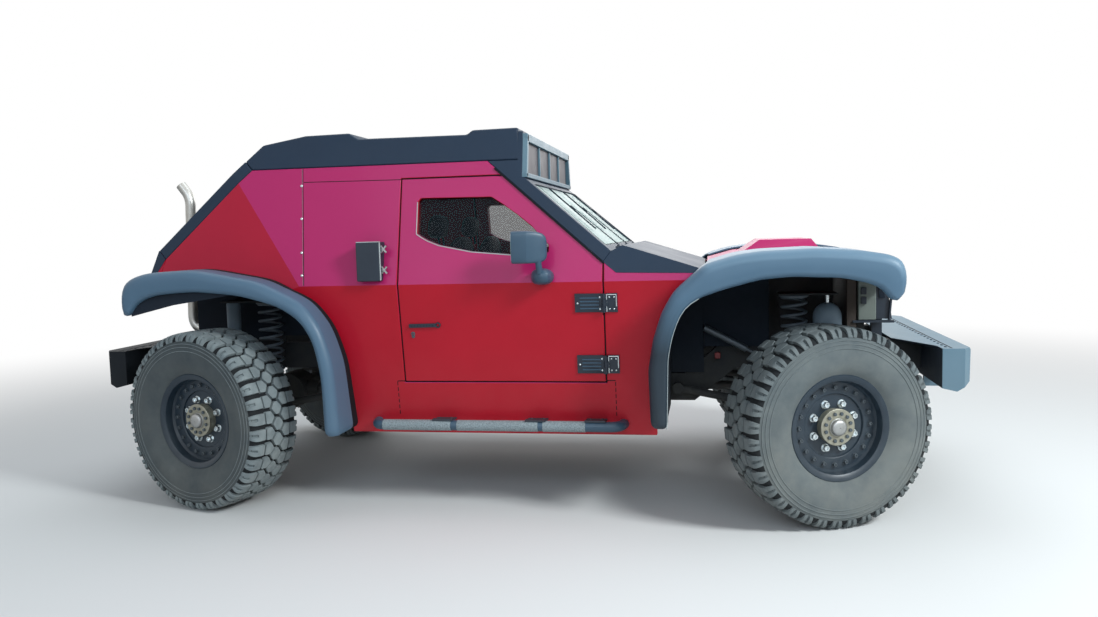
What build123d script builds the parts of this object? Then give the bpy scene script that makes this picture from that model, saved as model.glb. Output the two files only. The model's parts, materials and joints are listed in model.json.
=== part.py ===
"""Lifted off-road 4x4 with a faceted two-door body, both axles steered.

Millimetres.  +X is the vehicle's front, +Y its left side, +Z up.  The ground
is z = 0 and the origin lies midway between the two bumpers' ends.
"""
from build123d import *
from math import sin, cos, tan, radians, atan2, degrees, hypot
import os

os.makedirs("parts", exist_ok=True)

# Wheels and steering, parked on a left turn of both axles
tyre_d = 1092.0
tyre_w = 364.0
hub_z = tyre_d / 2
kingpin_front_x = 1796.0
kingpin_rear_x = -1806.0
kingpin_y = 905.0
scrub = 100.0            # wheel's centre plane outside the kingpin
steer_front = 23.0       # degrees to the left, seen from above
steer_rear = -17.0
rim_w = 290.0
rim_flange_r = 290.0
bead_r = 256.0
barrel_r = 228.0
rim_wall = 10.0
disc_in = 40.0           # wheel disc's place outside the centre plane
disc_t = 20.0
hub_r = 92.0
hub_out = 112.0
drum_r = 195.0
ring_r = 176.0           # raised bolt ring round the disc
ring_out = 73.0
lug_count = 34
groove_len = 84.0        # a shoulder groove's reach in from the sidewall
groove_fall = 0.55
groove_open = 0.30       # half its width for each millimetre of depth
drum_in = 40.0
spindle_r = 34.0
spindle_out = 88.0       # spindle's end outside the wheel's centre plane
arm_len = 150.0
arm_drop = 45.0
tie_rod_r = 16.0
pin_r = 16.0
pin_gap = 0.5

# Body faces: half widths by height, and the side view's corners
crease_z = 1346.0
brow_z = 2253.0          # top of the roof's raised front
crease_half = 1000.0
tumble = 13.5            # lean of the sides above the crease, degrees
tuck = 7.5               # lean below it
sill_z = 440.0
wall = 45.0
roof_t = 40.0
skin = 15.0              # outer layer of a door
door_t = 60.0
door_gap = 8.0
lap = 18.0               # how far a door's inner layer stands back



def level(z):
    """Height drawn at z on a cab whose crease is at 1346 and brow at 2253, moved with those two."""
    return crease_z + (z - 1346.0) * (brow_z - crease_z) / (2253.0 - 1346.0)


band_z = level(2060.0)   # lower edge of the dark roof band
roof_rear = (-1513.0, level(2215.0))
slope_low = (-2227.0, level(1579.0))
tail_low = (-2333.0, 1300.0)
strip_w = 75.0           # dark strip along the slope's edge
quarter_top = (-1647.0, level(1967.0))
quarter_back = (-2277.0, 860.0, level(1447.0))
quarter_front_x = -1218.0
band_front_x = -76.0
pillar_low = (616.0, level(1455.0))
screen_top = (150.0, level(1955.0))
screen_low = (661.0, level(1516.0))
cowl_peak = (726.0, level(1548.0))
cowl_front = (1180.0, 1403.0)
cowl_low = (690.0, 1394.0)
brow_x = 105.0           # front of the roof, behind its lamp frame
lamp_t = 35.0            # lamp frame's depth
lamp_low = (166.0, level(1967.0))
roof_z = level(2224.0)
glass_t = 6.0
panel_t = 30.0           # slope, tail and screen frame
bonnet_hinge = (1190.0, 1404.0)
floor_z = 750.0
floor_t = 25.0
bulkhead_x = 868.0
bulkhead_t = 30.0

# Door outline in side view, rear lower corner first
door_rear_x = -597.0
door_low_z = 762.0
door_front_x = 612.0
door_top_z = level(1968.0)
door_top_front_x = 20.0
hinge_x = 619.0
hinge_out = 14.0         # pin's axis outside the lower side face
door_open = 70.0

# Bumpers
bumper_x = 2600.0
bumper_half = 950.0
bumper_top = 950.0
bumper_h = 186.0
bumper_depth = 160.0
bumper_plate_t = 10.0
plate_reach = 170.0
eye_r = 16.0
eye_t = 25.0

# Frame rails, kicked up over both axles
rail_y = 400.0
rail_w = 80.0
rail_h = 170.0
rail_web = 9.0
rail_end_z = 855.0       # centre line over the axles
rail_mid_z = 650.0       # and under the cab
rail_end_x = bumper_x - bumper_depth
kick_front = (1300.0, 1050.0)
kick_rear = (-1250.0, -950.0)

# Suspension
spring_y = 560.0
spring_r = 78.0
spring_low = hub_z + 79
spring_high = 1225.0
spring_x = (1700.0, -1640.0)
damper_x = (1890.0, -1900.0)
axle_r = 58.0
diff_r = 130.0
diff_y = (180.0, 0.0)


def body_y(z, inset=0.0):
    """Half width of the body's outer face at height z, moved in by inset."""
    lean = tumble if z > crease_z else tuck
    return crease_half - abs(z - crease_z) * tan(radians(lean)) - inset / cos(radians(lean))


def quarter_plane(side, inset=0.0):
    """Plane of the turned-in rear quarter facet, its normal pointing outwards."""
    top = Vector(quarter_top[0], side * body_y(quarter_top[1]), quarter_top[1])
    back = Vector(quarter_back[0], side * quarter_back[1], quarter_back[2])
    front = Vector(quarter_front_x, side * crease_half, crease_z)
    normal = (top - back).cross(front - back).normalized() * side
    return Plane(origin=front - normal * inset, z_dir=normal)


def body_prism(inset=0.0):
    """The body's cross-section along its length, with both quarter facets cut."""
    z_bottom, z_top = sill_z - 190, brow_z + 200
    with BuildPart() as block:
        with BuildSketch(Plane.YZ.offset(tail_low[0] - 170)):
            with BuildLine():
                Polyline((body_y(z_bottom), z_bottom), (crease_half, crease_z), (body_y(z_top), z_top),
                         (-body_y(z_top), z_top), (-crease_half, crease_z), (-body_y(z_bottom), z_bottom), close=True)
            make_face()
            if inset:
                offset(amount=-inset, kind=Kind.INTERSECTION)
        extrude(amount=cowl_front[0] - tail_low[0] + 290)
        for side in (1, -1):
            split(bisect_by=quarter_plane(side, inset), keep=Keep.BOTTOM)
    return block.part


def side_prism(points, y_low=-1300.0, y_high=1300.0):
    """A side-view outline, (x, z) corners, extruded from y_low to y_high."""
    with BuildPart() as prism:
        with BuildSketch(Plane.XZ.offset(-y_high)):
            with BuildLine():
                Polyline(*points, close=True)
            make_face()
        extrude(amount=y_high - y_low)
    return prism.part


def along(start, end, run, drop=0.0):
    """Point run mm from start towards end in side view, moved drop mm square to the line."""
    dx, dz = end[0] - start[0], end[1] - start[1]
    length = hypot(dx, dz)
    return (start[0] + (dx * run + dz * drop) / length, start[1] + (dz * run - dx * drop) / length)


def thick_line(points, depth):
    """Closed outline of a bent plate: its upper line and that line moved down by depth."""
    moved = []
    for i, (x, z) in enumerate(points):
        before, after = points[max(i - 1, 0)], points[min(i + 1, len(points) - 1)]
        turn_in = atan2(z - before[1], x - before[0]) if i else atan2(after[1] - z, after[0] - x)
        turn_out = atan2(after[1] - z, after[0] - x) if i < len(points) - 1 else turn_in
        middle = (turn_in + turn_out) / 2
        reach = depth / cos((turn_out - turn_in) / 2)
        moved.append((x + reach * sin(middle), z - reach * cos(middle)))
    return list(points) + moved[::-1]


def rod_between(start, end, radius):
    start, end = Vector(*start), Vector(*end)
    with BuildPart() as rod:
        with BuildSketch(Plane(origin=start, z_dir=(end - start).normalized())):
            Circle(radius)
        extrude(amount=(end - start).length)
    return rod.part


def side_face(x, z, side, out=0.0):
    """Plane on the body's lower side face: local x forward, z outwards."""
    lean = radians(tuck)
    normal = Vector(0, side * cos(lean), -sin(lean))
    origin = Vector(x, side * body_y(z), z) + normal * out
    return Plane(origin=origin, x_dir=(1, 0, 0), z_dir=normal)


outer_block = body_prism()
inner_block = body_prism(wall)
skin_block = body_prism(skin)
door_inner_block = body_prism(door_t)

slope_run = hypot(roof_rear[0] - slope_low[0], roof_rear[1] - slope_low[1])
slope_sin = (roof_rear[1] - slope_low[1]) / slope_run
slope_cos = (roof_rear[0] - slope_low[0]) / slope_run
join_run = (band_z - slope_low[1] + strip_w * slope_cos) / slope_sin     # where slope and roof cap meet


def on_slope(run, depth=0.0):
    return along(slope_low, roof_rear, run, depth)


# Arch outlines in side view: (x, z) of the flare's outer edge and of its lip
rear_flare_out = [(-925, 430), (-950, 900), (-1010, 1110), (-1120, 1262), (-1390, 1392),
                  (-1800, 1465), (-2130, 1450), (-2270, 1400), (-2285, 1200)]
rear_flare_in = [(-1012, 430), (-1020, 824), (-1059, 1029), (-1133, 1154), (-1265, 1240),
                 (-1512, 1308), (-1800, 1335), (-2060, 1318), (-2190, 1270), (-2225, 1200)]
front_flare_out = [(885, 430), (872, 861), (900, 1030), (950, 1182), (1013, 1289), (1185, 1440),
                   (1342, 1485), (1476, 1503), (1765, 1512), (1980, 1492), (2135, 1458), (2205, 1400), (2215, 1240)]
front_flare_in = [(972, 430), (985, 932), (1009, 1051), (1045, 1150), (1089, 1215), (1163, 1262),
                  (1299, 1306), (1475, 1351), (1633, 1364), (1885, 1354), (2013, 1326), (2082, 1299), (2125, 1240)]
flare_y = 1210.0
flare_t = 10.0
flare_wall = 36.0        # outer wall, thick enough for the rolled edges
flare_roll = 38.0
lip_roll = 18.0
fender_in_y = 605.0
fender_rear_x = 1190.0

# Body sides: one wall each, from the sill to the roof band
tail_corner = on_slope(0, strip_w)
tail_inner_low = (tail_low[0] + strip_w, tail_low[1])
side_outline = [
    (900, sill_z), (900, 870), (930, 1060), (985, 1230), (1080, 1330), (cowl_front[0], cowl_front[1] - 20), cowl_low, pillar_low,
    (band_front_x, band_z), on_slope(join_run, strip_w), tail_corner, along(tail_corner, tail_inner_low, 130),
    (-2130, 1412), (-1800, 1428), (-1400, 1356), (-1150, 1232), (-1045, 1090), (-985, 900), (-960, sill_z)]
door_outline = [(door_rear_x, door_low_z), (door_rear_x, door_top_z), (door_top_front_x, door_top_z),
                (door_front_x, pillar_low[1] + 3), (door_front_x, door_low_z)]


def door_prism(grow):
    """The door's side-view outline made larger or smaller all round, across the vehicle."""
    with BuildPart() as prism:
        with BuildSketch(Plane.XZ.offset(-1300)):
            with BuildLine():
                Polyline(*door_outline, close=True)
            make_face()
            offset(amount=grow, kind=Kind.INTERSECTION)
        extrude(amount=2600)
    return prism.part


with BuildPart() as body_sides:
    add(outer_block)
    add(inner_block, mode=Mode.SUBTRACT)
    add(side_prism(side_outline), mode=Mode.INTERSECT)
    add(door_prism(door_gap), mode=Mode.SUBTRACT)
body_sides.part.label = "body_sides"
export_step(body_sides.part, "parts/body_sides.step")

# Roof cap: raised brow, low middle, raised rear part, then down to the slope
brow_low = (brow_x + 20, band_z)
roof_outline = [(brow_x, brow_z), (-174, brow_z - 3), (-206, roof_z), (-890, roof_z + 4), (-950, level(2266)),
                (-1235, level(2262)),
                roof_rear, on_slope(join_run), on_slope(join_run, strip_w), brow_low]
roof_inside = [(brow_x - roof_t, brow_z - roof_t), (-170, brow_z - roof_t), (-206, roof_z - roof_t),
               (-1330, roof_z - roof_t), on_slope(join_run - 40, roof_t), (-1900, level(1900)), (brow_x - roof_t, level(1900))]
with BuildPart() as roof_hollow:
    add(inner_block)
    add(side_prism(roof_inside), mode=Mode.INTERSECT)
with BuildPart() as roof_cap:
    add(outer_block)
    add(side_prism(roof_outline), mode=Mode.INTERSECT)
    add(roof_hollow.part, mode=Mode.SUBTRACT)
roof_cap.part.label = "roof_cap"
export_step(roof_cap.part, "parts/roof_cap.step")

# Lamp frame across the roof's front, with four panes
frame_front = [(brow_x, brow_z), (brow_x + lamp_t, brow_z), lamp_low, (lamp_low[0] - lamp_t, lamp_low[1]), brow_low]
lamp_block = body_prism(28)
pane_low, pane_high = lamp_low[1] + 30, brow_z - 32
pane_w, pane_bar = 352.0, 18.0
with BuildPart() as panes:
    with BuildSketch(Plane.YZ.offset(lamp_low[0] - lamp_t + 1)):
        with Locations((0, (pane_low + pane_high) / 2)):
            with GridLocations(pane_w + pane_bar, 1, 4, 1):
                Rectangle(pane_w, pane_high - pane_low)
    extrude(amount=120)
    add(lamp_block, mode=Mode.INTERSECT)
with BuildPart() as roof_lamp_frame:
    add(outer_block)
    add(side_prism(frame_front), mode=Mode.INTERSECT)
    add(panes.part, mode=Mode.SUBTRACT)
roof_lamp_frame.part.label = "roof_lamp_frame"
export_step(roof_lamp_frame.part, "parts/roof_lamp_frame.step")
with BuildPart() as roof_lamps:
    add(panes.part)
    add(side_prism([(brow_x, lamp_low[1]), (brow_x + 34, lamp_low[1]), (brow_x + 34, brow_z), (brow_x, brow_z)]),
        mode=Mode.INTERSECT)
roof_lamps.part.label = "roof_lamps"
export_step(roof_lamps.part, "parts/roof_lamps.step")


def sloped_window(low, high, run_from, run_to, inset):
    """Opening through a sloped panel, its sides parallel to the body's."""
    with BuildPart() as window:
        add(body_prism(inset))
        add(side_prism([along(low, high, run_from, -60), along(low, high, run_to, -60),
                        along(low, high, run_to, 90), along(low, high, run_from, 90)]), mode=Mode.INTERSECT)
    return window.part


def sloped_glass(low, high, run_from, run_to, inset, depth):
    with BuildPart() as pane:
        add(body_prism(inset))
        add(side_prism([along(low, high, run_from, depth), along(low, high, run_to, depth),
                        along(low, high, run_to, depth + glass_t),
                        along(low, high, run_from, depth + glass_t)]), mode=Mode.INTERSECT)
    return pane.part


# Rear slope with its window
with BuildPart() as slope_hollow:
    add(inner_block)
    add(side_prism([on_slope(-100, panel_t), on_slope(join_run + 60, panel_t), on_slope(join_run + 60, 160),
                    on_slope(-100, 160)]), mode=Mode.INTERSECT)
rear_window = (250.0, 700.0, 170.0)      # run from, run to, inset from the sides
with BuildPart() as rear_slope:
    add(outer_block)
    add(side_prism([on_slope(0), on_slope(join_run), on_slope(join_run, strip_w), tail_corner]), mode=Mode.INTERSECT)
    add(slope_hollow.part, mode=Mode.SUBTRACT)
    add(sloped_window(slope_low, roof_rear, *rear_window), mode=Mode.SUBTRACT)
rear_slope.part.label = "rear_slope"
export_step(rear_slope.part, "parts/rear_slope.step")
with BuildPart() as rear_glass:
    add(sloped_glass(slope_low, roof_rear, *rear_window, 6))
rear_glass.part.label = "rear_glass"
export_step(rear_glass.part, "parts/rear_glass.step")

# Tail panel below the slope
with BuildPart() as tail_hollow:
    add(inner_block)
    add(side_prism([(slope_low[0] + panel_t, 1700), (slope_low[0] + panel_t, slope_low[1]),
                    (tail_low[0] + panel_t, tail_low[1] - 1), (-1900, 1200), (-1900, 1700)]), mode=Mode.INTERSECT)
with BuildPart() as tail_panel:
    add(outer_block)
    add(side_prism([slope_low, tail_corner, tail_inner_low, tail_low]), mode=Mode.INTERSECT)
    add(tail_hollow.part, mode=Mode.SUBTRACT)
tail_panel.part.label = "tail_panel"
export_step(tail_panel.part, "parts/tail_panel.step")
lamp_y, lamp_z = 700.0, 1420.0
with BuildPart() as tail_lamps:
    for side in (1, -1):
        with BuildSketch(Plane.YZ.offset(tail_low[0] - 27)):
            with Locations((side * lamp_y, lamp_z)):
                RectangleRounded(90, 170, 15)
        extrude(amount=80)
    add(side_prism([slope_low, tail_low, (tail_low[0] - 25, tail_low[1]), (slope_low[0] - 25, slope_low[1])]),
        mode=Mode.INTERSECT)
tail_lamps.part.label = "tail_lamps"
export_step(tail_lamps.part, "parts/tail_lamps.step")

# Screen frame: both pillars, the header and the lower bar
screen_run = hypot(screen_top[0] - screen_low[0], screen_top[1] - screen_low[1])
pillar_outline = [(band_front_x, band_z), brow_low, (lamp_low[0] - lamp_t, lamp_low[1]), (lamp_low[0] - lamp_t, lamp_low[1] - 7),
                  screen_top, screen_low, pillar_low]
with BuildPart() as screen_hollow:
    add(inner_block)
    add(side_prism([along(screen_top, screen_low, -250, 200), along(screen_top, screen_low, 900, 200),
                    along(screen_top, screen_low, 900, panel_t), along(screen_top, screen_low, 20, panel_t),
                    (brow_x - 20, level(1950)), (brow_x - 20, brow_z)]), mode=Mode.INTERSECT)
screen_window = (55.0, screen_run - 55.0, 85.0)
with BuildPart() as screen_frame:
    add(outer_block)
    add(side_prism(pillar_outline), mode=Mode.INTERSECT)
    add(screen_hollow.part, mode=Mode.SUBTRACT)
    add(sloped_window(screen_top, screen_low, *screen_window), mode=Mode.SUBTRACT)
screen_frame.part.label = "screen_frame"
export_step(screen_frame.part, "parts/screen_frame.step")
with BuildPart() as windscreen:
    add(sloped_glass(screen_top, screen_low, *screen_window, 8))
windscreen.part.label = "windscreen"
export_step(windscreen.part, "parts/windscreen.step")

# Cowl: dark plate from the screen down to the bonnet, with its side triangles
cowl_outline = [pillar_low, screen_low, cowl_peak, cowl_front, (cowl_front[0], cowl_front[1] - 20), cowl_low]
with BuildPart() as cowl_hollow:
    add(inner_block)
    add(side_prism([(pillar_low[0], 1300), (pillar_low[0] + 25, pillar_low[1] + 5), (screen_low[0] + 12, 1492),
                    (cowl_peak[0], cowl_peak[1] - 22), (cowl_front[0], cowl_front[1] - 20), (cowl_front[0], 1300)]),
        mode=Mode.INTERSECT)
with BuildPart() as cowl:
    add(outer_block)
    add(side_prism(cowl_outline), mode=Mode.INTERSECT)
    add(cowl_hollow.part, mode=Mode.SUBTRACT)
    # Bonnet hinge eyes with their pins
    for side in (-1, 1):
        y_pair = sorted((side * 441, side * 480))
        pin_pair = sorted((side * 400, side * 480))
        add(side_prism([(cowl_front[0], 1384), (cowl_front[0], 1400), (bonnet_hinge[0] - 1, 1400), (bonnet_hinge[0] - 1, 1397)],
                       *y_pair))
        add(rod_between((bonnet_hinge[0], y_pair[0], bonnet_hinge[1]), (bonnet_hinge[0], y_pair[1], bonnet_hinge[1]), 8))
        add(rod_between((bonnet_hinge[0], pin_pair[0], bonnet_hinge[1]), (bonnet_hinge[0], pin_pair[1], bonnet_hinge[1]), 4))
cowl.part.label = "cowl"
export_step(cowl.part, "parts/cowl.step")

# Cab floor: flat under the seats, then arched up over the rear axle; bulkhead
floor_line = [(-2235, 1400), (-1500, 1400), (-1300, 1352), (-1120, 1246), (-1010, 1100), (-950, 900),
              (-935, floor_z + floor_t), (bulkhead_x, floor_z + floor_t)]
with BuildPart() as cab_floor:
    add(inner_block)
    add(side_prism(thick_line(floor_line, floor_t)), mode=Mode.INTERSECT)
cab_floor.part.label = "cab_floor"
export_step(cab_floor.part, "parts/cab_floor.step")
with BuildPart() as bulkhead:
    with BuildSketch(Plane.YZ.offset(bulkhead_x)):
        with BuildLine():
            Polyline((1100, sill_z + 20), (1100, 1380), (-1100, 1380), (-1100, sill_z + 20), (-470, sill_z + 20),
                     (-470, floor_z), (470, floor_z), (470, sill_z + 20), close=True)
        make_face()
    extrude(amount=bulkhead_t)
    add(inner_block, mode=Mode.INTERSECT)
bulkhead.part.label = "bulkhead"
export_step(bulkhead.part, "parts/bulkhead.step")

# Doors: an outer skin and a smaller inner layer, with the window cut
window_outline = [(x, level(z)) for x, z in (
    (-492, 1640), (-492, 1832), (-474, 1852), (-45, 1846), (27, 1800), (109, 1741), (202, 1666), (300, 1560),
    (300, 1520), (258, 1496), (81, 1508), (-158, 1531), (-353, 1572), (-423, 1600), (-455, 1618))]
hinge_rows = (1225.0, 866.0)
leaf_h, leaf_t, knuckle_r, hinge_pin_r = 108.0, 8.0, 11.0, 5.0
door_leaf, body_leaf = 155.0, 76.0
handle_x, handle_z, handle_len = -455.0, 1101.0, 170.0
mirror_x, mirror_z, mirror_y = 215.0, 1552.0, 1115.0
door_keep_out = outer_block


def hinge_knuckle(z, side, start, stop):
    """Plane across the hinge axis at start along it from height z, facing stop."""
    face = side_face(hinge_x, z, side, hinge_out)
    up = Vector(0, side * sin(radians(tuck)), cos(radians(tuck)))
    return Plane(origin=face.origin + up * start, x_dir=(1, 0, 0), z_dir=up * (1 if stop > start else -1))


for side, name in ((-1, "right"), (1, "left")):
    near, far = (-1300.0, 0.0) if side < 0 else (0.0, 1300.0)
    with BuildPart() as door_inner:
        add(skin_block)
        add(door_inner_block, mode=Mode.SUBTRACT)
        add(door_prism(-lap), mode=Mode.INTERSECT)
    with BuildPart() as door:
        add(outer_block)
        add(skin_block, mode=Mode.SUBTRACT)
        add(door_prism(0), mode=Mode.INTERSECT)
        add(door_inner.part)
        add(side_prism([(-700, 500), (700, 500), (700, 2100), (-700, 2100)], near, far), mode=Mode.INTERSECT)
        add(side_prism(window_outline), mode=Mode.SUBTRACT)
    door.part.label = f"door_{name}"
    export_step(door.part, f"parts/door_{name}.step")
    with BuildPart() as glass_inner:
        add(body_prism(skin + 12))
    with BuildPart() as door_glass:
        add(body_prism(skin + 12 - glass_t))
        add(glass_inner.part, mode=Mode.SUBTRACT)
        add(side_prism(window_outline, near, far), mode=Mode.INTERSECT)
    door_glass.part.label = f"door_glass_{name}"
    export_step(door_glass.part, f"parts/door_glass_{name}.step")

    # Hinge leaves, handle and mirror carried by the door
    with BuildPart() as door_fittings:
        for z in hinge_rows:
            with BuildSketch(side_face(hinge_x, z, side)):
                with Locations((-13 - door_leaf / 2, 0)):
                    Rectangle(door_leaf, leaf_h)
            extrude(amount=leaf_t)
            for end in (1, -1):
                knuckle = hinge_knuckle(z, side, end * 20, end * leaf_h / 2)
                with BuildSketch(knuckle):
                    Circle(knuckle_r)
                    Circle(hinge_pin_r + 0.4, mode=Mode.SUBTRACT)
                extrude(amount=leaf_h / 2 - 20)
                with BuildSketch(knuckle):
                    with Locations((-12.5, 0)):
                        Rectangle(9, 14)
                extrude(amount=leaf_h / 2 - 20)
        with BuildSketch(side_face(handle_x, handle_z, side)):
            SlotCenterToCenter(handle_len, 26)
        extrude(amount=9)
        with BuildSketch(side_face(handle_x - 60, handle_z - 55, side)):
            Rectangle(26, 34)
        extrude(amount=5)
        # Mirror: foot on the door, arm and housing
        foot_x = mirror_x + 75
        add(side_prism([(foot_x - 60, 1345), (foot_x + 45, 1338), (foot_x + 40, 1410), (foot_x - 40, 1418)],
                       *sorted((side * (body_y(1380) - 20), side * (mirror_y + 19)))))
        with BuildSketch(Plane.XY.offset(1390)):
            with Locations((mirror_x + 70, side * mirror_y)):
                Circle(17)
        extrude(amount=120)
        with BuildSketch(Plane.XZ.offset(-side * mirror_y)):
            with Locations((mirror_x, mirror_z)):
                RectangleRounded(188, 176, 34)
        extrude(amount=44, both=True)
        add(door_keep_out, mode=Mode.SUBTRACT)
    door_fittings.part.label = f"door_fittings_{name}"
    export_step(door_fittings.part, f"parts/door_fittings_{name}.step")

# Body-side hinge leaves with their pins
with BuildPart() as hinge_leaves:
    for side in (-1, 1):
        for z in hinge_rows:
            with BuildSketch(side_face(hinge_x, z, side)):
                with Locations((13 + (body_leaf - 13) / 2, 0)):
                    Rectangle(body_leaf - 13, leaf_h)
            extrude(amount=leaf_t)
            with BuildSketch(hinge_knuckle(z, side, -19, 19)):
                Circle(knuckle_r)
                with Locations((12.5, 0)):
                    Rectangle(9, 14)
            extrude(amount=38)
            with BuildSketch(hinge_knuckle(z, side, -leaf_h / 2, leaf_h / 2)):
                Circle(hinge_pin_r)
            extrude(amount=leaf_h)
hinge_leaves.part.label = "hinge_leaves"
export_step(hinge_leaves.part, "parts/hinge_leaves.step")


def face_edges(part, outline, y):
    """Edges of a flare's outer face that follow one of its outlines."""
    corners = {(round(x), round(z)) for x, z in outline}
    return [edge for edge in part.edges().filter_by_position(Axis.Y, y - 0.1, y + 0.1)
            if all((round(v.X), round(v.Z)) in corners for v in edge.vertices())]


def flare_shell(outline_out, outline_in, side, y_in):
    """Hollow wheel-arch flare: its top skin, thick rounded outer wall and lip, open below."""
    y_pair = (-flare_y, -y_in) if side < 0 else (y_in, flare_y)
    inner_pair = (-flare_y + flare_wall, -y_in + 1) if side < 0 else (y_in - 1, flare_y - flare_wall)
    inwards = flare_t if outline_out[-1][0] > outline_out[0][0] else -flare_t
    under = thick_line(outline_out, inwards)[len(outline_out):]
    with BuildPart() as shell:
        add(side_prism(list(outline_out) + list(outline_in)[::-1], *y_pair))
        fillet(face_edges(shell.part, outline_out, side * flare_y), flare_roll)
        fillet(face_edges(shell.part, outline_in, side * flare_y), lip_roll)
        add(side_prism([(outline_in[0][0] + 40, outline_in[0][1] - 60)] + list(outline_in)
                       + [(outline_in[-1][0], outline_in[-1][1] - 60)], *inner_pair), mode=Mode.SUBTRACT)
        add(side_prism(under + [(outline_in[0][0], outline_in[0][1] - 1)] + list(outline_in)
                       + [(outline_in[-1][0], outline_in[-1][1] - 1)], *inner_pair), mode=Mode.SUBTRACT)
    return shell.part


with BuildPart() as rear_flares:
    for side in (-1, 1):
        add(flare_shell(rear_flare_out, rear_flare_in, side, 880))
    add(outer_block, mode=Mode.SUBTRACT)
rear_flares.part.label = "rear_flares"
export_step(rear_flares.part, "parts/rear_flares.step")

with BuildPart() as body_ahead_cut:
    add(outer_block)
    add(side_prism([(0, 200), (fender_rear_x, 200), (fender_rear_x, 2000), (0, 2000)]), mode=Mode.INTERSECT)
with BuildPart() as front_fenders:
    for side in (-1, 1):
        add(flare_shell(front_flare_out, front_flare_in, side, fender_in_y))
    add(body_ahead_cut.part, mode=Mode.SUBTRACT)
front_fenders.part.label = "front_fenders"
export_step(front_fenders.part, "parts/front_fenders.step")

# Headlamps in the fenders' noses
lamp_r, lamp_front_y, lamp_front_z = 78.0, 900.0, 1322.0
with BuildPart() as headlamps:
    for side in (-1, 1):
        with BuildSketch(Plane.YZ.offset(2190)):
            with Locations((side * lamp_front_y, lamp_front_z)):
                Circle(lamp_r)
        extrude(amount=42)
    nose_face = front_flare_out[-2:]
    add(side_prism([(2000, 1500), (nose_face[0][0] - 6, 1500)] + nose_face + [(nose_face[1][0], 1100), (2000, 1100)]),
        mode=Mode.SUBTRACT)
headlamps.part.label = "headlamps"
export_step(headlamps.part, "parts/headlamps.step")

# Bonnet with its bulge; nose panel below it
bonnet_line = [(fender_rear_x + 6, 1428), (1370, 1474), (1800, 1496), (2060, 1470), (2196, 1400)]
bonnet_t, bulge_z = 14.0, 1551.0
with BuildPart() as bonnet:
    add(side_prism(thick_line(bonnet_line, bonnet_t), -fender_in_y + door_gap, fender_in_y - door_gap))
    with BuildSketch(Plane.XY.offset(1440)):
        with Locations((1628, 0)):
            Rectangle(560, 800)
    with BuildSketch(Plane.XY.offset(bulge_z)):
        with Locations((1670, 0)):
            Rectangle(310, 640)
    loft()
    add(side_prism(thick_line([(x, z - bonnet_t) for x, z in bonnet_line], 200)), mode=Mode.SUBTRACT)
    for side in (-1, 1):
        y_pair = sorted((side * 400, side * 440))
        add(side_prism([(bonnet_hinge[0], bonnet_hinge[1] - 5), (bonnet_hinge[0] + 30, bonnet_hinge[1] + 8),
                        (bonnet_hinge[0] + 30, bonnet_hinge[1] + 16), (bonnet_hinge[0] + 8, bonnet_hinge[1] + 16)], *y_pair))
        add(rod_between((bonnet_hinge[0], y_pair[0], bonnet_hinge[1]), (bonnet_hinge[0], y_pair[1], bonnet_hinge[1]), 8))
        add(rod_between((bonnet_hinge[0], y_pair[0] - 1, bonnet_hinge[1]), (bonnet_hinge[0], y_pair[1] + 1, bonnet_hinge[1]), 4.3),
            mode=Mode.SUBTRACT)
bonnet.part.label = "bonnet"
export_step(bonnet.part, "parts/bonnet.step")

nose_top, nose_low = (2206.0, 1376.0), (2246.0, 1080.0)
with BuildPart() as nose_panel:
    add(side_prism([nose_top, nose_low, (nose_low[0] - 24, nose_low[1]), (nose_top[0] - 24, nose_top[1] - 6)], -598, 598))
    with BuildSketch(Plane.YZ.offset(2100)):
        with Locations((0, 1235)):
            with GridLocations(1, 40, 1, 6):
                Rectangle(760, 22)
    extrude(amount=200, mode=Mode.SUBTRACT)
    for side in (-1, 1):
        add(side_prism([(nose_top[0] - 24, nose_top[1] - 6), (nose_low[0] - 24, nose_low[1]), (2160, nose_low[1]), (2120, 1376)],
                       *sorted((side * 598, side * 580))))
        add(side_prism([(nose_low[0] - 24, nose_low[1] + 30), (nose_low[0] - 24, rail_end_z + rail_h / 2),
                        (nose_low[0] - 84, rail_end_z + rail_h / 2), (nose_low[0] - 84, nose_low[1] + 30)],
                       *sorted((side * 425, side * 375))))
nose_panel.part.label = "nose_panel"
export_step(nose_panel.part, "parts/nose_panel.step")

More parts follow.
